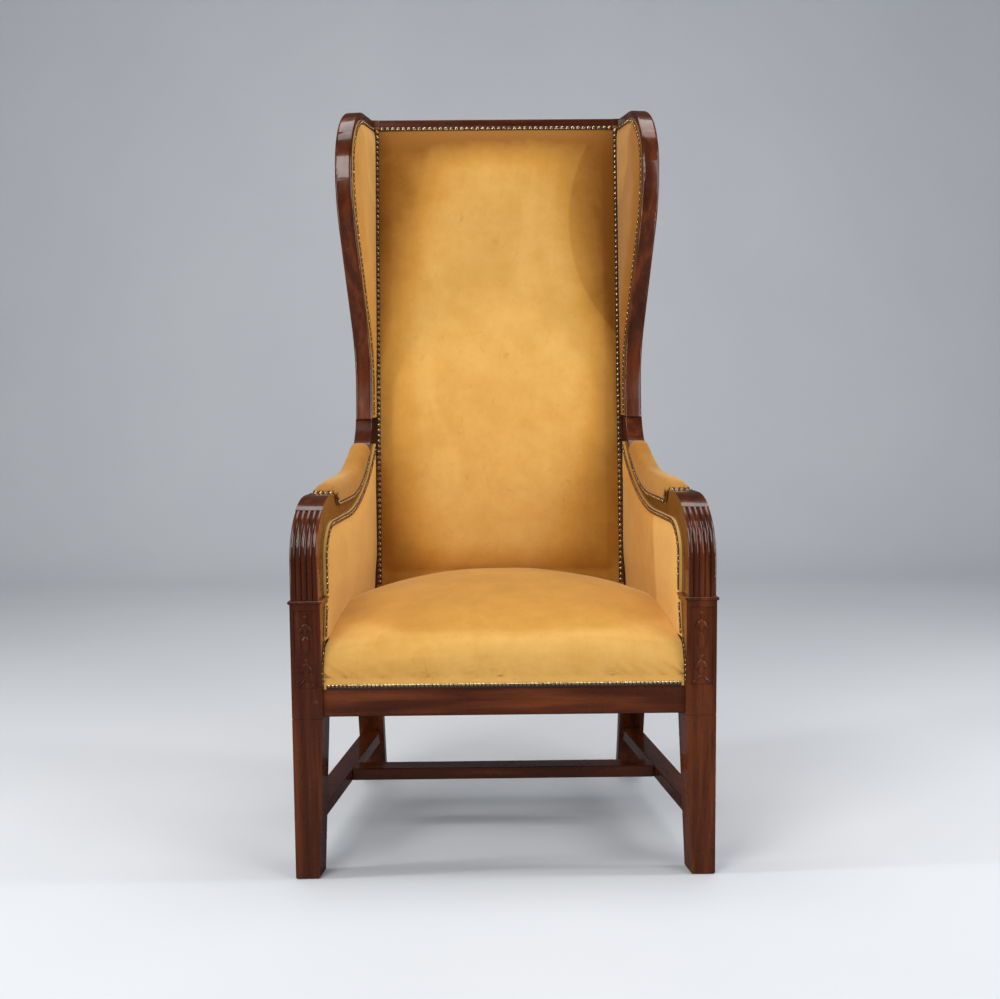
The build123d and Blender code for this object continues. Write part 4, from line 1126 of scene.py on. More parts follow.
@dataclass
class SeatUpholstery:
    """Crowned seat with a rolled front edge, nailed along the front rail."""

    finishes: FinishSet
    plan: Plan
    stations: tuple = (7.0, 7.0, 7.2, 10.5, 17.0, 27.2, 62.9, 125.8, 231.4, 337.0, 437.0)
    edges: tuple = (-13.5, -3.0, 10.0, 26.0, 42.0, 54.0, 62.0, 78.0, 92.0, 84.0, 70.0)
    crowns: tuple = (-13.5, -1.0, 24.0, 48.0, 64.0, 75.0, 92.0, 108.0, 124.0, 124.0, 111.0)
    front_run: float = 6.0
    front_rows: int = 55
    top_rows: int = 46
    columns: int = 90
    crowding: float = 1.5
    side_gap: float = 0.3
    rear_gap: float = 2.6
    skirt_depth: float = 9.0
    base_depth: float = 9.2
    fall_power: float = 2.3
    bow: float = 3.4
    bow_run: float = 5.2
    bow_power: int = 6
    ripple: float = 1.6
    ripple_scale: tuple = (0.011, 0.009, 0.012)
    ripple_start: float = 3.0
    ripple_run: float = 2.0
    gather: float = 9.0
    gather_scale: tuple = (0.075, 0.10, 0.020)
    gather_base: float = 317.0
    gather_ease: float = 9.0
    gather_height: float = 324.0
    gather_spread: float = 19.0

    def half(self, depth: float) -> float:
        """Half of the seat's width at a depth."""
        return self.plan.arm_face(depth) - self.side_gap

    def surface(self, across: float, run: float) -> Vector:
        """A point of the cover.

        Args:
            across: place in the width, from -1 to 1.
            run: place from front to rear, counted in stations.

        Returns:
            The place in metres.
        """
        places = list(range(len(self.stations)))
        depth = smooth_between(places, self.stations, run)
        edge = smooth_between(places, self.edges, run)
        crown = smooth_between(places, self.crowns, run)
        height = self.plan.rail_top + edge + (crown - edge) * (1.0 - abs(across) ** self.fall_power)
        x = across * self.half(max(depth, 0.0))
        middle = self.bow_run / 2
        face = max(0.0, 1.0 - abs(run - middle) / middle)
        bow = math.sin(math.pi * min(run, self.bow_run) / self.bow_run)
        depth -= self.bow * face * (1.0 - abs(across) ** self.bow_power) * bow
        ripple = noise.noise(Vector(a * b for a, b in zip((x, depth, height), self.ripple_scale)))
        height += ripple * self.ripple * held((run - self.ripple_start) / self.ripple_run)
        along, slant, up = self.gather_scale
        crease = abs(noise.noise(Vector((x * along + height * slant, height * up, 4.0))))
        start = held((height - self.gather_base) / self.gather_ease)
        depth += crease * self.gather * start * hump(height - self.gather_height, self.gather_spread)
        limit = self.plan.stile(height) - self.rear_gap
        return self.plan.at(x, min(depth, limit), height)

    def build(self) -> None:
        """Builds the seat as one closed padded form."""
        plan = self.plan
        last = len(self.stations) - 1
        runs = steps(0.0, self.front_run, self.front_rows)
        runs += steps(self.front_run, last, self.top_rows)[1:]
        rear = plan.stile(plan.stuffing_base) - self.rear_gap
        rings = []
        for across in eased(-1.0, 1.0, self.columns, self.crowding):
            ring = [self.surface(across, run) for run in runs]
            rear_x, front_x = ring[-1].x / MM, ring[0].x / MM
            ring.append(plan.at(rear_x, rear, plan.stuffing_base))
            ring.append(plan.at(front_x, self.base_depth, plan.stuffing_base))
            ring.append(plan.at(front_x, self.skirt_depth, plan.skirt))
            rings.append(ring)
        piece = new_piece("seat_velvet", lofted(rings), self.finishes.velvet(Nap.SEAT))
        place_piece(piece, ["seat_cover", "seat_stuffing"])


@dataclass
class BackUpholstery:
    """Tall padded panel between the stiles."""

    finishes: FinishSet
    plan: Plan
    half: float = 232.5
    low: float = 332.0
    high: float = 1269.0
    seat_line: float = 428.0
    swell_depth: float = 23.0
    cloth: float = 2.0
    side_edge: float = 70.0
    top_edge: float = 75.0
    bottom_edge: float = 60.0
    margin: float = 0.09
    lip_power: float = 2.6
    crown_power: float = 2.4
    crown_share: float = 0.45
    ripple: float = 1.1
    nail_pitch: float = 10.2
    pull: float = 0.35
    pull_inset: float = 9.0
    pull_spread: float = 5.0
    rear_gap: float = 0.05
    bottom_share: float = 0.03
    ripple_scale: tuple = (0.012, 0.008)
    rows: int = 230
    row_crowding: float = 1.12
    columns: int = 92
    column_crowding: float = 1.5

    def lip(self, share: float) -> float:
        """Rise of the padding from a nailed edge, between 0 and 1."""
        return 1.0 - (1.0 - held(share - self.margin)) ** self.lip_power

    def swell(self, x: float, height: float) -> float:
        """How far the cover stands ahead of the stiles.

        Args:
            x: place in the width.
            height: place in the height.

        Returns:
            The distance in millimetres.
        """
        inset = self.half - abs(x)
        side = self.lip(inset / self.side_edge)
        top = self.lip((self.high - height) / self.top_edge)
        bottom = self.lip((height - self.seat_line) / self.bottom_edge + self.margin)
        crown = 1.0 - (abs(x) / self.half) ** self.crown_power
        flat_share = 1.0 - self.crown_share
        rise = min(side, flat_share + self.crown_share * crown) * top
        rise *= self.bottom_share + (1.0 - self.bottom_share) * bottom
        across, up = self.ripple_scale
        ripple = noise.noise(Vector((x * across, height * up, 2.0))) * self.ripple * rise
        pull = math.cos(2 * math.pi * height / self.nail_pitch) * self.pull
        pull *= hump(inset - self.pull_inset, self.pull_spread)
        padding = flat_share * rise + self.crown_share * rise * max(0.0, crown)
        return self.cloth + self.swell_depth * padding + ripple + pull

    def build(self) -> None:
        """Builds the back as one closed padded form."""
        rings = []
        heights = eased(self.low, self.high, self.rows, self.row_crowding)
        for x in eased(-self.half, self.half, self.columns, self.column_crowding):
            ring = [self.plan.back_point(x, self.swell(x, height), height) for height in heights]
            ring += [self.plan.back_point(x, self.rear_gap, height) for height in (self.high, self.low)]
            rings.append(ring)
        piece = new_piece("back_velvet", lofted(rings), self.finishes.velvet(Nap.BACK))
        place_piece(piece, ["inside_back_cover", "back_stuffing"])


@dataclass
class ArmUpholstery:
    """Inside and outside panels of one arm, and the rolled pad on its rail."""

    finishes: FinishSet
    plan: Plan
    side: Side
    pad_places: tuple = (136.6, 137.4, 139.0, 142.0, 148.0, 158.0, 172.0, 215.0, 260.0, 305.0, 350.0, 390.0,
                         408.0, 417.0, 421.0)
    pad_heights: tuple = (9.0, 13.5, 18.0, 21.5, 25.0, 28.0, 30.0, 33.5, 34.5, 33.5, 33.5, 31.0,
                          27.0, 20.0, 8.0)
    pad_skirt: float = 9.0
    pad_edge: float = 2.0
    overhang: float = 2.0
    pad_shift: float = 1.0
    pad_square: float = 0.62
    pad_shoulder: float = 0.72
    belly: float = 0.018
    slit: float = 0.05
    lift: float = 0.1
    front_lean: float = 0.52
    lean_start: float = 178.0
    lean_run: float = 40.0
    lean_height: float = 608.0
    pucker: float = 1.5
    pucker_above: float = 4.0
    pucker_depth: float = 143.0
    pucker_spread: float = 9.0
    pucker_pitch: float = 0.85
    ripple: float = 0.6
    ripple_scale: tuple = (0.07, 0.05, 0.05)
    pad_rings: int = 74
    pad_points: int = 25
    pad_crowding: float = 1.5
    panel_swell: float = 4.0
    panel_ripple: float = 0.5
    panel_ripple_scale: float = 0.02
    panel_points: int = 40
    panel_rings: int = 90
    panel_crowding: float = 1.25
    shoulder_rings: int = 5
    flap_columns: int = 12
    flap_rows: int = 14
    outside_columns: int = 70
    outside_rows: int = 30
    panel_edge: float = 30.0
    panel_margin: float = 9.0
    padding_front: float = 50.0
    padding_rear: float = 460.0
    seat_line: float = 420.0
    seat_run: float = 40.0
    panel_front: float = 41.8
    panel_shoulder: float = 52.0
    panel_rear: float = 466.0
    front_strip: float = 42.0
    rear_strip: float = 424.0
    outside_rear_strip: float = 419.0
    front_block: float = 50.3
    front_low: float = 452.3
    front_high: float = 508.0
    panel_lap: float = 8.2
    stile_gap: float = 0.3
    least_height: float = 1.0
    flap_low: tuple = (24.0, 384.0)
    flap_high: tuple = (36.0, 440.5)
    flap_rear: float = 50.2
    flap_thickness: float = 1.6
    outside_front: float = 50.4
    outside_rear: float = 470.0
    outside_edge: float = 40.0
    outside_swell: float = 1.2
    cloth: float = 2.0

    def lean(self, depth: float) -> float:
        """Slope of the pad's front end, which follows the end of the support."""
        share = held((self.lean_start - depth) / self.lean_run)
        return -self.front_lean * share * share

    def pad_ring(self, depth: float) -> list[Vector]:
        """One section of the pad.

        Args:
            depth: where it is cut.

        Returns:
            Its points, over the top and back under the rail's edges.
        """
        thick = smooth_between(self.pad_places, self.pad_heights, depth)
        base = self.plan.rail_height(depth)
        outer = self.plan.frame_outer(depth)
        inner = self.plan.arm_inner(depth)
        middle = (outer + inner) / 2
        half = (outer - inner) / 2 + self.overhang
        points = []
        for turn in steps(0.0, math.pi, self.pad_points):
            across = math.copysign(abs(math.cos(turn)) ** self.pad_square, math.cos(turn))
            up = math.sin(turn) ** self.pad_shoulder
            belly = 1.0 + self.belly * math.sin(turn) ** 2
            points.append((middle + half * across * belly, base + self.pad_edge + (thick - self.pad_edge) * up))
        low, top = base - self.pad_skirt, base + self.lift
        points += [(middle - half, low), (inner - self.slit, low), (inner - self.slit, top),
                   (outer + self.slit, top), (outer + self.slit, low), (middle + half, low)]
        ring = []
        for x, height in points:
            place = Vector(a * b for a, b in zip((depth, height, x), self.ripple_scale))
            pucker = noise.noise(place) * self.ripple
            gather = hump(depth - self.pucker_depth, self.pucker_spread)
            pucker += self.pucker * math.sin(x * self.pucker_pitch) * gather
            rear = depth + self.lean(depth) * (height - self.lean_height) + self.pad_shift
            pucker *= height > base + self.pucker_above
            ring.append(self.plan.at(self.side.value * x, rear, height + pucker))
        return ring

    def build_pad(self) -> None:
        """Builds the pad."""
        word = self.side.word
        places = eased(self.pad_places[0], self.pad_places[-1], self.pad_rings, self.pad_crowding)
        form = lofted([self.pad_ring(depth) for depth in places])
        piece = new_piece("arm_pad_velvet_" + word, form, self.finishes.velvet(Nap.PAD))
        place_piece(piece, [f"arm_pad_cover_{word}", f"arm_pad_stuffing_{word}"])

    def panel_ring(self, depth: float, low: float, high: float) -> list[Vector]:
        """One upright strip of the inside panel.

        Args:
            depth: where it stands.
            low: its lower end.
            high: its upper end.

        Returns:
            Its points, up the cover and back down the timber.
        """
        ring = []
        sign = self.side.value
        for height in steps(low, high, self.panel_points):
            free = held(min((high - height - self.panel_margin) / self.panel_edge,
                            (depth - self.padding_front) / self.panel_edge,
                            (self.padding_rear - depth) / self.panel_edge))
            above_seat = held((height - self.seat_line) / self.seat_run)
            puff = self.panel_swell * rounded(free) * above_seat
            place = Vector((depth * self.panel_ripple_scale, height * self.panel_ripple_scale, 9.0))
            puff += noise.noise(place) * self.panel_ripple * free
            ring.append(self.plan.at(sign * (self.plan.arm_face(depth) - puff), depth, height))
        return ring + [self.plan.at(sign * self.plan.arm_inner(depth), depth, end) for end in (high, low)]

    def build_inside(self) -> None:
        """Builds the inside panel."""
        plan = self.plan
        places = steps(self.panel_front, self.panel_shoulder, self.shoulder_rings)
        places += eased(self.panel_shoulder, self.panel_rear, self.panel_rings, self.panel_crowding)[1:]
        rings = []
        for depth in places:
            low = self.front_low if depth < self.front_block else plan.stuffing_base
            high = self.front_high if depth < self.front_strip else plan.under_height(depth, self.panel_lap)
            if depth > self.rear_strip:
                rear = min(high, plan.stile_front_height(depth, self.stile_gap))
                low = max(low, min(rear, high - self.least_height))
            rings.append(self.panel_ring(depth, low, high))
        word = self.side.word
        piece = new_piece("inside_arm_velvet_" + word, lofted(rings), self.finishes.velvet(Nap.ARM))
        nodes = [f"inside_arm_cover_{word}", f"inside_arm_stuffing_{word}"]
        place_piece(piece, nodes)

    def build_flap(self) -> None:
        """Builds the panel's flap on the front post, beside the seat's front corner."""
        plan = self.plan
        (low_front, low), (high_front, high) = self.flap_low, self.flap_high
        sign = self.side.value
        rings = []
        for share in steps(0.0, 1.0, self.flap_columns):
            low_depth = low_front + share * (self.flap_rear - low_front)
            high_depth = high_front + share * (self.flap_rear - high_front)
            ring = []
            for rise in steps(0.0, 1.0, self.flap_rows):
                depth = low_depth + (high_depth - low_depth) * rise
                face = plan.post_face(depth) - self.flap_thickness
                ring.append(plan.at(sign * face, depth, low + (high - low) * rise))
            ring.append(plan.at(sign * plan.post_face(high_depth), high_depth, high))
            ring.append(plan.at(sign * plan.post_face(low_depth), low_depth, low))
            rings.append(ring)
        piece = new_piece("arm_flap_velvet_" + self.side.word, lofted(rings), self.finishes.velvet(Nap.ARM))
        place_piece(piece)

    def build_outside(self) -> None:
        """Builds the stretched cover on the outside of the arm."""
        plan = self.plan
        sign = self.side.value
        rings = []
        for depth in steps(self.outside_front, self.outside_rear, self.outside_columns):
            high = plan.under_height(depth, self.panel_lap)
            low = plan.skirt
            if depth > self.outside_rear_strip:
                low = min(plan.stile_front_height(depth, self.stile_gap), high - self.least_height)
            ring = []
            for height in steps(low, high, self.outside_rows):
                inset = min(high - height, height - low, depth - self.padding_front, self.outside_rear - depth)
                puff = self.cloth + self.outside_swell * rounded(inset / self.outside_edge)
                ring.append(plan.at(sign * (plan.frame_outer(depth) + puff), depth, height))
            ring += [plan.at(sign * plan.frame_outer(depth), depth, end) for end in (high, low)]
            rings.append(ring)
        word = self.side.word
        piece = new_piece("outside_arm_velvet_" + word, lofted(rings), self.finishes.velvet())
        place_piece(piece, [f"outside_arm_cover_{word}"])

    def build(self) -> None:
        """Builds the pad and the panels."""
        self.build_pad()
        self.build_inside()
        self.build_flap()
        self.build_outside()


@dataclass(frozen=True)
class WingPanel:
    """Padded panel on one face of a wing, in millimetres across, inside and over it."""

    name: str
    nap: Nap
    inset: float
    drop: float
    face: float
    back: float
    swell: float


@dataclass
class WingUpholstery:
    """Padded inside face and stretched outside face of one wing."""

    finishes: FinishSet
    plan: Plan
    side: Side
    inset: float = 5.0
    drop: float = 12.0
    outside_inset: float = 12.0
    cloth: float = 2.0
    inside_swell: float = 6.5
    outside_swell: float = 1.5
    margin: float = 9.0
    edge: float = 40.0
    rear_edge: float = 26.0
    rear_share: float = 0.1
    rear_gap: float = 0.4
    foot: float = 1.5
    crest_band: float = 44.0
    least_reach: float = 2.0
    rows: int = 86
    crest_rows: int = 24
    columns: int = 30
    crowding: float = 1.3

    def panel(self, panel: WingPanel) -> bpy.types.Object:
        """A padded panel made of level strips.

        Args:
            panel: which face it covers, and how.

        Returns:
            The piece.
        """
        plan = self.plan
        sign = self.side.value
        slope = math.tan(plan.rake)
        gap = self.rear_gap
        top = plan.wing_top(panel.inset, panel.drop) - gap
        levels = steps(self.foot, top - self.crest_band, self.rows)
        levels += [top - self.crest_band * (1 - share) ** 2 for share in steps(0.0, 1.0, self.crest_rows)][1:]
        rings = []
        for level in levels:
            reach = max(self.least_reach, plan.level_reach(level, panel.inset, panel.drop))
            ring = []
            for share in eased(0.0, 1.0, self.columns, self.crowding):
                place = gap + share * (reach - gap)
                edge = min(reach - place, top - level) - self.margin
                free = min(edge / self.edge, place / self.rear_edge + self.rear_share)
                across = panel.face + math.copysign(panel.swell * rounded(free), panel.face - panel.back)
                ring.append(plan.wing_point(across, place, level - place * slope, sign))
            ring += [plan.wing_point(panel.back, end, level - end * slope, sign) for end in (reach, gap)]
            rings.append(ring)
        name = f"{panel.name}_velvet_{self.side.word}"
        return new_piece(name, lofted(rings), self.finishes.velvet(panel.nap))

    def build(self) -> None:
        """Builds both faces of the wing."""
        word = self.side.word
        thick = self.plan.wing_thickness
        inside = WingPanel("inside_wing", Nap.WING, self.inset, self.drop, thick + self.cloth, thick,
                           self.inside_swell)
        nodes = [f"inside_wing_cover_{word}", f"inside_wing_stuffing_{word}"]
        place_piece(self.panel(inside), nodes)
        outside = WingPanel("outside_wing", Nap.PLAIN, self.outside_inset, 0.0, -self.cloth, 0.0,
                            self.outside_swell)
        place_piece(self.panel(outside), [f"outside_wing_cover_{word}"])


@dataclass
class RearCover:
    """Stretched velvet over the outside of the back."""

    finishes: FinishSet
    plan: Plan
    half: float = 258.0
    low: float = 303.0
    high: float = 1275.0
    cloth: float = 1.9
    swell: float = 1.6
    edge: float = 50.0
    columns: int = 60
    column_crowding: float = 1.4
    rows: int = 90
    row_crowding: float = 1.2

    def build(self) -> None:
        """Builds the cover."""
        plan = self.plan
        rings = []
        for x in eased(-self.half, self.half, self.columns, self.column_crowding):
            ring = []
            for height in eased(self.low, self.high, self.rows, self.row_crowding):
                inset = min(self.half - abs(x), self.high - height, height - self.low)
                puff = self.cloth + self.swell * rounded(inset / self.edge)
                ring.append(plan.at(x, plan.stile_rear(height) + puff, height))
            ring += [plan.at(x, plan.stile_rear(end), end) for end in (self.high, self.low)]
            rings.append(ring)
        piece = new_piece("outside_back_velvet", lofted(rings), self.finishes.velvet())
        place_piece(piece, ["outside_back_cover"])


@dataclass
class HiddenLayers:
    """Webbing, hessian and the lining under the seat."""

    finishes: FinishSet
    sag: float = 6.0 * MM
    cuts: int = 12
    sharp: float = 40.0
    level: float = 0.9

    def dress(self) -> None:
        """Gives the carried-over layers their cloth, and sags the lining."""
        for node in ("seat_webbing", "back_webbing", "seat_hessian", "back_hessian"):
            cloth = Cloth[node.split("_")[1].upper()]
            data = frame["nodes"][node].data
            data.materials.clear()
            data.materials.append(self.finishes.weave(cloth))
        form = bmesh.new()
        form.from_mesh(joined_copy("bottom_cloth"))
        bmesh.ops.triangulate(form, faces=form.faces)
        bmesh.ops.subdivide_edges(form, edges=form.edges, cuts=self.cuts, use_grid_fill=True)
        low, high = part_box("bottom_cloth")
        for vertex in form.verts:
            across = 1.0 - (2.0 * vertex.co.x / (high.x - low.x)) ** 2
            along = 1.0 - ((2.0 * vertex.co.y - low.y - high.y) / (high.y - low.y)) ** 2
            vertex.co.z -= self.sag * max(0.0, across) * max(0.0, along)
        mesh = meshed(form, "lining", self.sharp)
        piece = new_piece("bottom_lining", mesh, self.finishes.weave(Cloth.LINING))
        place_piece(piece, ["bottom_cloth"])


# Nails

@dataclass
class NailRow:
    """Nail places along some lines, each with the way that its head faces."""

    radius: float
    places: list[Vector] = field(default_factory=list)
    facings: list[Vector] = field(default_factory=list)
    lines: list[tuple] = field(default_factory=list)

    def follow(self, line: Sequence[Vector], facing: Vector, pitch: float) -> None:
        """Spaces nails along a line.

        Args:
            line: points of the line, in metres.
            facing: way that the heads face.
            pitch: distance between nails.
        """
        self.lines.append((line, facing))
        lengths = [0.0]
        for a, b in zip(line, line[1:]):
            lengths.append(lengths[-1] + (b - a).length)
        count = max(2, round(lengths[-1] / pitch))
        for i in range(count):
            want = (i + 0.5) * lengths[-1] / count
            k = max(j for j, length in enumerate(lengths[:-1]) if length <= want)
            share = (want - lengths[k]) / max(1e-9, lengths[k + 1] - lengths[k])
            self.places.append(line[k].lerp(line[k + 1], share))
            self.facings.append(facing)


@dataclass
class Braid:
    """Narrow dark brown braid that the nails are driven through; its dark strip also stands for the painted
    shade between and beside the heads.
    """

    finishes: FinishSet
    spread: float = 2.2
    top_share: float = 0.9
    rise: float = 0.9 * MM

    def lay(self, name: str, row: NailRow) -> None:
        """Lays the braid, dark with painted shade, along every line of a row of nails.

        Args:
            name: name of the piece.
            row: the nails, whose lines and head size the braid follows.
        """
        form = bmesh.new()
        half = self.spread * row.radius / 2
        for line, facing in row.lines:
            rings = []
            for i, point in enumerate(line):
                way = line[min(i + 1, len(line) - 1)] - line[max(i - 1, 0)]
                across = way.cross(facing).normalized() * half
                top = across * self.top_share
                lift = facing.normalized() * self.rise
                corners = (point - across, point - top + lift, point + top + lift, point + across)
                rings.append([form.verts.new(corner) for corner in corners])
            for first, second in zip(rings, rings[1:]):
                for k in range(4):
                    form.faces.new((first[k], first[(k + 1) % 4], second[(k + 1) % 4], second[k]))
            form.faces.new(rings[0])
            form.faces.new(list(reversed(rings[-1])))
        bmesh.ops.recalc_face_normals(form, faces=form.faces)
        piece = new_piece(name, meshed(form, name), self.finishes.weave(Cloth.BRAID))
        place_piece(piece)


class NailTree:
    """Geometry Nodes tree that sets a domed head on every place of a row."""

    tilt: float = 0.07
    turn: float = 6.28
    sizes: tuple = (0.94, 1.05)
    sharp: float = 60.0

    def __init__(self, head: bpy.types.Object) -> None:
        """Builds the tree once.

        Args:
            head: a nail head of unit radius.
        """
        self.tree = bpy.data.node_groups.new("set_nails", "GeometryNodeTree")
        interface = self.tree.interface
        interface.new_socket("Geometry", in_out="INPUT", socket_type="NodeSocketGeometry")
        self.size_socket = interface.new_socket("Head radius", in_out="INPUT", socket_type="NodeSocketFloat")
        self.seed_socket = interface.new_socket("Seed", in_out="INPUT", socket_type="NodeSocketInt")
        self.finish_socket = interface.new_socket("Finish", in_out="INPUT", socket_type="NodeSocketMaterial")
        interface.new_socket("Geometry", in_out="OUTPUT", socket_type="NodeSocketGeometry")
        start = self.add("NodeGroupInput")
        end = self.add("NodeGroupOutput")
        points = self.add("GeometryNodeMeshToPoints")
        facing = self.add("GeometryNodeInputNamedAttribute", data_type="FLOAT_VECTOR")
        facing.inputs["Name"].default_value = "facing"
        align = self.add("FunctionNodeAlignRotationToVector", axis="Z")
        tilt = self.add("FunctionNodeRandomValue", data_type="FLOAT_VECTOR")
        tilt.inputs["Min"].default_value = (-self.tilt, -self.tilt, 0.0)
        tilt.inputs["Max"].default_value = (self.tilt, self.tilt, self.turn)
        turn = self.add("FunctionNodeEulerToRotation")
        rotate = self.add("FunctionNodeRotateRotation", rotation_space="LOCAL")
        spread = self.add("FunctionNodeRandomValue", data_type="FLOAT")
        spread.inputs[2].default_value, spread.inputs[3].default_value = self.sizes
        size = self.add("ShaderNodeMath", operation="MULTIPLY")
        source = self.add("GeometryNodeObjectInfo")
        source.inputs["Object"].default_value = head
        scatter = self.add("GeometryNodeInstanceOnPoints")
        whole = self.add("GeometryNodeRealizeInstances")
        finish = self.add("GeometryNodeSetMaterial")
        for giver, given, taker, taken in (
                (start, 0, points, "Mesh"), (points, 0, scatter, "Points"),
                (source, "Geometry", scatter, "Instance"), (facing, 0, align, "Vector"), (tilt, 0, turn, 0),
                (start, 2, tilt, "Seed"), (start, 2, spread, "Seed"), (align, 0, rotate, 0),
                (turn, 0, rotate, 1), (rotate, 0, scatter, "Rotation"), (start, 1, size, 0),
                (spread, 1, size, 1), (size, 0, scatter, "Scale"), (scatter, 0, whole, 0),
                (whole, 0, finish, "Geometry"), (start, "Finish", finish, "Material"), (finish, 0, end, 0)):
            self.tree.links.new(giver.outputs[given], taker.inputs[taken])

    def add(self, kind: str, **settings: object) -> bpy.types.Node:
        """Adds a node.

        Args:
            kind: Blender's name for the node type.
            settings: attributes to set on it.

        Returns:
            The node.
        """
        made = self.tree.nodes.new(kind)
        for key, value in settings.items():
            setattr(made, key, value)
        return made

    def set_row(self, name: str, row: NailRow, brass: bpy.types.Material, seed: int,
                nodes: Sequence[str]) -> None:
        """Makes one row of nails a plain mesh piece.

        Args:
            name: name of the piece.
            row: places of the nails.
            brass: finish of the heads.
            seed: fixed seed for their small differences.
            nodes: CAD nodes that the row replaces.
        """
        mesh = bpy.data.meshes.new(name)
        mesh.from_pydata([tuple(p) for p in row.places], [], [])
        facing = mesh.attributes.new("facing", "FLOAT_VECTOR", "POINT")
        facing.data.foreach_set("vector", [c for f in row.facings for c in f])
        piece = linked(bpy.data.objects.new(name, mesh))
        modifier = piece.modifiers.new("nails", "NODES")
        modifier.node_group = self.tree
        modifier[self.size_socket.identifier] = row.radius
        modifier[self.seed_socket.identifier] = seed
        modifier[self.finish_socket.identifier] = brass
        flattened(piece)
        smoothed(piece.data, self.sharp)
        place_piece(piece, nodes)


@dataclass
class Nailing:
    """Every row of domed nails, with the dark braid under it that also stands for the shade between the heads.
    Insets are in millimetres.
    """

    finishes: FinishSet
    plan: Plan
    large: float = 4.0 * MM
    small: float = 3.1 * MM
    pitch: float = 10.2 * MM
    small_pitch: float = 6.5 * MM
    close_share: float = 0.8
    head_profile: tuple = ((1.0, 0.0), (1.0, 0.08), (0.93, 0.24), (0.72, 0.45), (0.40, 0.57))
    head_top: float = 0.62
    head_sides: int = 10
    cloth: float = 2.0
    braid_drop: float = 1.7
    seat_depth: float = 7.0
    seat_end: float = 4.6
    post_line: tuple = ((3.8, 314.0), (3.8, 330.0), (6.0, 350.0), (12.0, 366.0), (22.0, 382.0))
    back_half: float = 228.3
    back_low: float = 404.0
    back_high: float = 1264.6
    back_corner: float = 5.0
    wing_inset: float = 9.2
    wing_drop: float = 12.0
    arm_inset: float = 4.0
    arm_front: float = 54.0
    arm_low: float = 455.5
    arm_shoulder: float = 110.0
    arm_rear: float = 463.0
    arm_sink: float = 0.2
    arm_curve_points: int = 16
    under_points: int = 60
    flap_line: tuple = ((29.0, 388.5), (40.0, 436.5))
    flap_cloth: float = 1.6
    pad_front: tuple = ((141.5, 606.0), (152.0, 589.5))
    pad_start: float = 158.0
    pad_rear: float = 417.0
    pad_points: int = 50
    pad_drop: float = 4.8
    pad_cloth: float = 2.2
    pad_end_depth: float = 138.9
    pad_end_plan_depth: float = 139.5
    pad_end_height: float = 608.7
    pad_end_inset: float = 3.0
    pad_end_way: tuple = (0.0, -0.8, 0.6)
    outside_inset: float = 4.2
    outside_cloth: float = 2.1
    outside_front: float = 45.2
    outside_rear: float = 416.0
    outside_corner: float = 10.0
    outside_curve_points: int = 14

    def head(self) -> bpy.types.Object:
        """A domed head of unit radius, with a thin rim.

        Returns:
            The head, which is not in the scene.
        """
        form = bmesh.new()
        count = self.head_sides
        turns = [2 * math.pi * i / count for i in range(count)]
        rings = [[form.verts.new((radius * math.cos(turn), radius * math.sin(turn), height)) for turn in turns]
                 for radius, height in self.head_profile]
        for low, high in zip(rings, rings[1:]):
            for i in range(count):
                form.faces.new((low[i], low[(i + 1) % count], high[(i + 1) % count], high[i]))
        form.faces.new(list(reversed(rings[0])))
        top = form.verts.new((0, 0, self.head_top))
        for i in range(count):
            form.faces.new((rings[-1][i], rings[-1][(i + 1) % count], top))
        return bpy.data.objects.new("nail_head", meshed(form, "nail_head"))

    def inward(self, line: Line, side: int) -> Vector:
        """Way that a nail faces on an inner side face.

        Args:
            line: half width of the face, by depth.
            side: 1 on the right, -1 on the left.

        Returns:
            The way.
        """
        return Vector((-side, line(1.0) - line(0.0), 0)).normalized()

    def build(self) -> None:
        """Sets all the rows."""
        head = self.head()
        tree = NailTree(head)
        braid_and_shade = Braid(self.finishes)
        rows = ((self.seat_front, "seat_front_nails"), (self.seat_ends, "seat_end_nails"),
                (self.back, "inside_back_nails"), (self.wings, "wing_nails"), (self.arms, "inside_arm_nails"),
                (self.pads, "arm_pad_nails"), (self.pad_fronts, None), (self.outside, None))
        for seed, (build, node) in enumerate(rows, start=1):
            name, row = build.__name__, build()
            # the seat's front row of nails gets the brighter pale-gold brass
            brass = self.finishes.brass(rubbed=name == "seat_front")
            tree.set_row(name + "_nail_heads", row, brass, seed, [node] if node else [])
            # each row gets its dark braid, which also paints the shade between the heads
            braid_and_shade.lay(name + "_braid", row)
        bpy.data.objects.remove(head)

    def seat_front(self) -> NailRow:
        """Close row along the front rail, with its braid a little lower, where its dark strip also stands for
        the shade under the nails.

        Returns:
            The row.
        """
        row = NailRow(self.small)
        half = self.plan.arm_face(self.seat_depth) - self.seat_end
        ahead = Vector((0, -1, 0))
        ends = [self.plan.at(side * half, self.seat_depth, self.plan.seat_nails) for side in (-1, 1)]
        row.follow(ends, ahead, self.small_pitch)
        # the braid sits a little lower here, where it also paints the shade under the seat's front nails
        row.lines = [([end - Vector((0, 0, self.braid_drop * MM)) for end in ends], ahead)]
        return row

    def seat_ends(self) -> NailRow:
        """Rows up the inner faces of the front posts.

        Returns:
            The row.
        """
        row = NailRow(self.small)
        face = self.plan.post_face
        for side in (-1, 1):
            points = [self.plan.at(side * face(depth), depth, height) for depth, height in self.post_line]
            row.follow(points, self.inward(face, side), self.pitch * self.close_share)
        return row

    def back(self) -> NailRow:
        """Row round the sides and top of the back.

        Returns:
            The row.
        """
        row = NailRow(self.large)
        plan = self.plan
        facing = Vector((0, -math.cos(plan.rake), math.sin(plan.rake)))
        x, high = self.back_half, self.back_high
        for side in (-1, 1):
            ends = [plan.back_point(side * x, self.cloth, height) for height in (self.back_low, high)]
            row.follow(ends, facing, self.pitch)
        x -= self.back_corner
        row.follow([plan.back_point(end, self.cloth, high) for end in (-x, x)], facing, self.pitch)
        return row

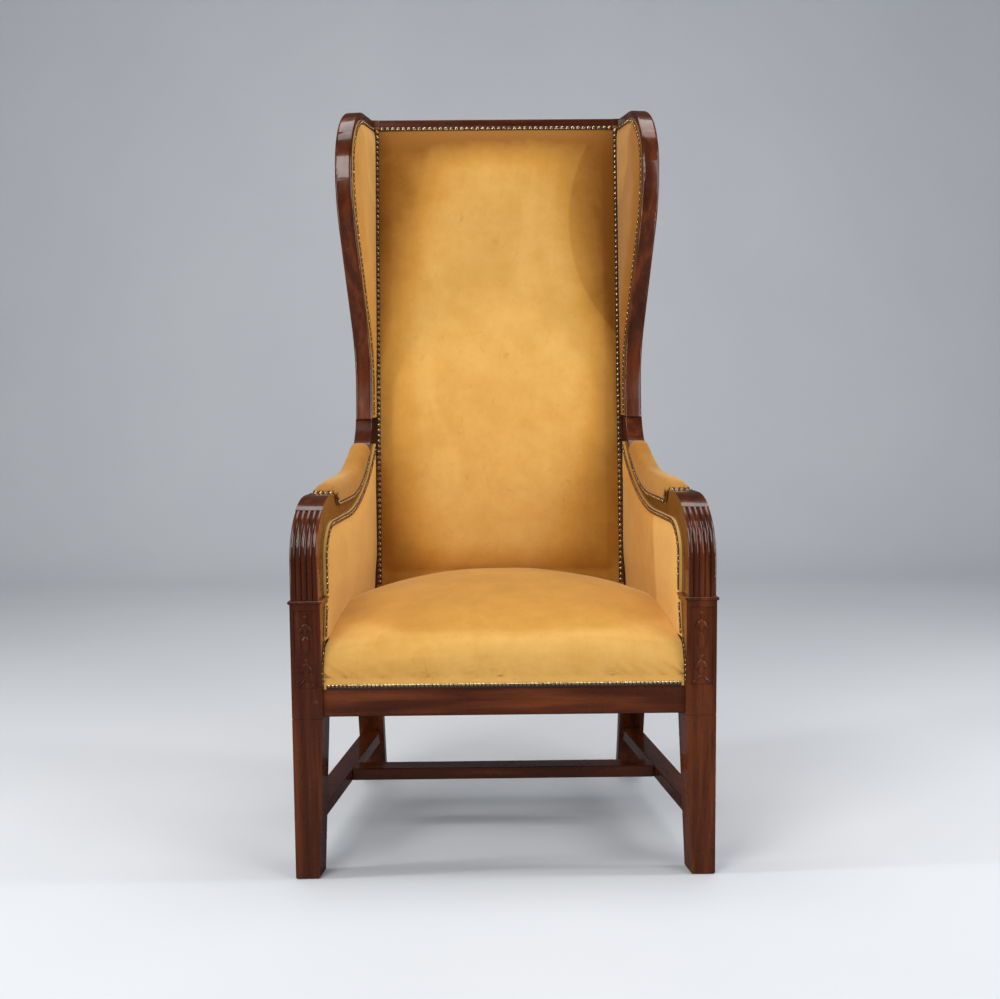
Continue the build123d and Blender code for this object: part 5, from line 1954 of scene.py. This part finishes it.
    def wings(self) -> NailRow:
        """Rows over the crests and down the front edges of the wings.

        Returns:
            The row.
        """
        row = NailRow(self.large)
        plan = self.plan
        across = plan.wing_thickness + self.cloth
        border = plan.wing_border(self.wing_inset, self.wing_drop)
        for side in (-1, 1):
            facing = plan.wing_point(1.0, 0.0, 0.0, side) - plan.wing_point(0.0, 0.0, 0.0, side)
            line = [plan.wing_point(across, reach, rise, side) for reach, rise in border]
            row.follow(line, facing.normalized(), self.pitch)
        return row

    def under_arm(self, front: float, count: int) -> list[Point]:
        """Line under the arm timbers, from the front post's curve to the stile.

        Args:
            front: half length of the curve at the front, along the depth.
            count: how many points the curve has.

        Returns:
            Depth and height of each point.
        """
        plan = self.plan
        middle = plan.under_front_depth
        base = plan.underside - plan.under_front_radius
        line = [(middle - front * math.cos(t), base + self.arm_front * math.sin(t))
                for t in steps(0.0, math.pi / 2, count)]
        depths = steps(self.arm_shoulder, self.arm_rear, self.under_points)
        return line + [(depth, plan.under_height(depth, self.arm_inset)) for depth in depths]

    def arms(self) -> NailRow:
        """Rows round the inside panels of the arms, and along their flaps.

        Returns:
            The row.
        """
        row = NailRow(self.large)
        plan = self.plan
        front = plan.under_front_depth - self.arm_front
        line = [(front, self.arm_low), (front, plan.underside - plan.under_front_radius)]
        line += self.under_arm(self.arm_front, self.arm_curve_points)
        for side in (-1, 1):
            facing = self.inward(plan.arm_face, side)
            points = [plan.at(side * (plan.arm_face(d) - self.arm_sink), d, z) for d, z in line]
            row.follow(points, facing, self.pitch)
            flap = [plan.at(side * (plan.post_face(d) - self.flap_cloth), d, z) for d, z in self.flap_line]
            row.follow(flap, facing, self.pitch)
        return row

    def pads(self) -> NailRow:
        """Rows along the skirts of the arm pads and up their front ends.

        Returns:
            The row.
        """
        row = NailRow(self.large)
        plan = self.plan
        line = list(self.pad_front)
        depths = steps(self.pad_start, self.pad_rear, self.pad_points)
        line += [(depth, plan.rail_height(depth) - self.pad_drop) for depth in depths]
        for side in (-1, 1):
            for face, out in ((plan.frame_outer, 1), (plan.arm_inner, -1)):
                points = [plan.at(side * (face(d) + out * self.pad_cloth), d, z) for d, z in line]
                row.follow(points, self.inward(face, side) * -out, self.pitch)
        return row

    def pad_fronts(self) -> NailRow:
        """Small nails across the front ends of the arm pads.

        Returns:
            The row.
        """
        row = NailRow(self.small)
        plan = self.plan
        depth = self.pad_end_plan_depth
        ends = (plan.frame_outer(depth) - self.pad_end_inset, plan.arm_inner(depth) + self.pad_end_inset)
        for side in (-1, 1):
            over = [plan.at(side * x, self.pad_end_depth, self.pad_end_height) for x in ends]
            row.follow(over, Vector(self.pad_end_way), self.pitch * self.close_share)
        return row

    def outside(self) -> NailRow:
        """Rows on the outside of the arms and round the outside of the back.

        Returns:
            The row.
        """
        row = NailRow(self.large)
        plan = self.plan
        rear = RearCover(self.finishes, plan)
        inset, cloth = self.outside_inset, self.outside_cloth
        tilt = Vector((0, math.cos(plan.rake), -math.sin(plan.rake)))
        bottom, front = plan.skirt + inset, plan.under_front_depth - self.outside_front
        line = [(self.outside_rear, bottom), (front, bottom), (front, plan.underside - plan.under_front_radius)]
        line += self.under_arm(self.outside_front, self.outside_curve_points)[1:]
        low, high = rear.low + inset, rear.high - inset
        for side in (-1, 1):
            points = [plan.at(side * (plan.frame_outer(d) + cloth), d, z) for d, z in line]
            row.follow(points, -self.inward(plan.frame_outer, side), self.pitch)
            x = side * (rear.half - inset)
            row.follow([plan.at(x, plan.stile_rear(z) + cloth, z) for z in (low, high)], tilt, self.pitch)
        x = rear.half - self.outside_corner
        for height in (low, high):
            ends = [plan.at(end, plan.stile_rear(height) + cloth, height) for end in (-x, x)]
            row.follow(ends, tilt, self.pitch)
        return row


# Studio

@dataclass(frozen=True)
class Lamp:
    """One soft rectangular lamp aimed at a height on the chair's middle line, in metres and watts."""

    name: str
    place: tuple
    aim: float
    size: tuple
    power: float
    color: tuple = (1.0, 1.0, 1.0)

    def hang(self) -> None:
        """Adds the lamp to the scene."""
        data = bpy.data.lights.new(self.name, "AREA")
        data.shape = "RECTANGLE"
        data.size, data.size_y = self.size
        data.energy = self.power
        data.color = self.color
        lamp = bpy.data.objects.new(self.name, data)
        lamp.location = self.place
        way = Vector((0, 0, self.aim)) - Vector(self.place)
        lamp.rotation_euler = way.to_track_quat("-Z", "Y").to_euler()
        linked(lamp)


@dataclass
class Studio:
    """Pale floor, soft lamps and the camera, in metres and degrees."""

    plan: Plan
    distance: float = 2.1
    height: float = 0.8295
    pitch: float = 6.0
    roll: float = 0.50
    turn: float = 0.6
    shift_x: float = -0.0042
    focal_pixels: float = 1356.2
    picture_pixels: float = 1000.0
    sensor: float = 36.0
    floor_half: float = 12.0
    floor_front: float = -9.0
    floor_rear: float = 2.6
    sweep_radius: float = 1.6
    wall_height: float = 8.0
    sweep_points: int = 14
    floor_cloud: tuple = (1.3, 3.0)
    floor_roughness: float = 0.6
    tints: tuple = ((0.60, 0.62, 0.65), (0.68, 0.69, 0.71))
    mirrored_tint: tuple = (0.10, 0.10, 0.105)
    surround: tuple = (0.86, 0.90, 0.96, 1.0)
    surround_level: float = 0.38
    mirrored_level: float = 0.06
    lamps: tuple = (Lamp("key", (-1.5, -2.6, 2.5), 0.65, (1.5, 1.5), 55.0, (1.0, 0.98, 0.95)),
                    Lamp("fill", (2.2, -2.2, 1.7), 0.6, (1.4, 1.8), 30.0, (0.96, 0.98, 1.0)),
                    Lamp("strip_left", (-2.3, -0.5, 1.2), 0.7, (0.16, 2.2), 28.0),
                    Lamp("strip_right", (2.3, -0.3, 1.2), 0.7, (0.16, 2.2), 28.0),
                    Lamp("top", (0, 0.2, 3.2), 0.5, (2.2, 1.6), 42.0))

    def floor(self) -> None:
        """A pale sweep that turns up behind the chair, dark where the polish mirrors it."""
        form = bmesh.new()
        rear, radius = self.floor_rear, self.sweep_radius
        profile = [(self.floor_front, 0.0), (rear, 0.0)]
        profile += [(rear + radius * math.sin(t), radius - radius * math.cos(t))
                    for t in steps(0.0, math.pi / 2, self.sweep_points)][1:]
        profile.append((rear + radius, self.wall_height))
        rows = [[form.verts.new((x, y, z)) for y, z in profile] for x in (-self.floor_half, self.floor_half)]
        for i in range(len(profile) - 1):
            form.faces.new((rows[0][i], rows[1][i], rows[1][i + 1], rows[0][i + 1]))
        mesh = meshed(form, "sweep")
        mesh.shade_smooth()
        shader = Shader("pale_floor")
        tint = shader.mix(shader.cloud(shader.place(), *self.floor_cloud), *self.tints)
        mirrored = Value(shader, shader.node("ShaderNodeLightPath", {}, {}).outputs["Is Glossy Ray"])
        tint = shader.mix(mirrored, tint, self.mirrored_tint)
        finish = shader.finish(Base_Color=tint, Roughness=self.floor_roughness)
        floor = new_piece("studio_floor", mesh, finish)

    def light(self) -> None:
        """Lamps in front and at the sides, and a pale surround."""
        for lamp in self.lamps:
            lamp.hang()
        world = bpy.data.worlds.new("surround")
        world.use_nodes = True
        tree = world.node_tree
        background = tree.nodes["Background"]
        background.inputs["Color"].default_value = self.surround
        paths = tree.nodes.new("ShaderNodeLightPath")
        level = tree.nodes.new("ShaderNodeMapRange")
        level.inputs["To Min"].default_value = self.surround_level
        level.inputs["To Max"].default_value = self.mirrored_level
        tree.links.new(paths.outputs["Is Glossy Ray"], level.inputs["Value"])
        tree.links.new(level.outputs["Result"], background.inputs["Strength"])
        bpy.context.scene.world = world
        bpy.context.scene.view_settings.view_transform = "Standard"

    def camera(self) -> None:
        """Camera at the photograph's viewing angle."""
        data = bpy.data.cameras.new("view")
        data.sensor_fit = "HORIZONTAL"
        data.sensor_width = self.sensor
        data.lens = self.focal_pixels * self.sensor / self.picture_pixels
        camera = bpy.data.objects.new("view", data)
        pitch, roll = math.radians(self.pitch), math.radians(self.roll)
        ahead = Vector((0, math.cos(pitch), -math.sin(pitch)))
        down = Vector((0, -math.sin(pitch), -math.cos(pitch)))
        right = Vector((1, 0, 0)) * math.cos(roll) + down * math.sin(roll)
        up = Vector((1, 0, 0)) * math.sin(roll) - down * math.cos(roll)
        frame_turn = Matrix((right, up, -ahead)).transposed().to_4x4()
        pivot = Matrix.Translation((0, self.plan.front_y, 0))
        orbit = pivot @ Matrix.Rotation(-math.radians(self.turn), 4, "Z") @ pivot.inverted()
        place = Matrix.Translation((self.shift_x, self.plan.front_y - self.distance, self.height))
        camera.matrix_world = orbit @ place @ frame_turn
        bpy.context.scene.camera = linked(camera)


def main() -> None:
    """Builds and dresses the chair in order."""
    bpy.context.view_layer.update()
    plan = Plan(front_y=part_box("front_post_left")[0].y)
    finishes = FinishSet()
    timber = Timber(finishes, plan)
    timber.dress()
    for side in Side:
        timber.carve(side)
        ArmUpholstery(finishes, plan, side).build()
        WingUpholstery(finishes, plan, side).build()
    SeatUpholstery(finishes, plan).build()
    BackUpholstery(finishes, plan).build()
    RearCover(finishes, plan).build()
    HiddenLayers(finishes).dress()
    Nailing(finishes, plan).build()
    studio = Studio(plan)
    studio.floor()
    studio.light()
    studio.camera()


if __name__ == "__main__":
    logging.basicConfig(level=logging.INFO)
    main()
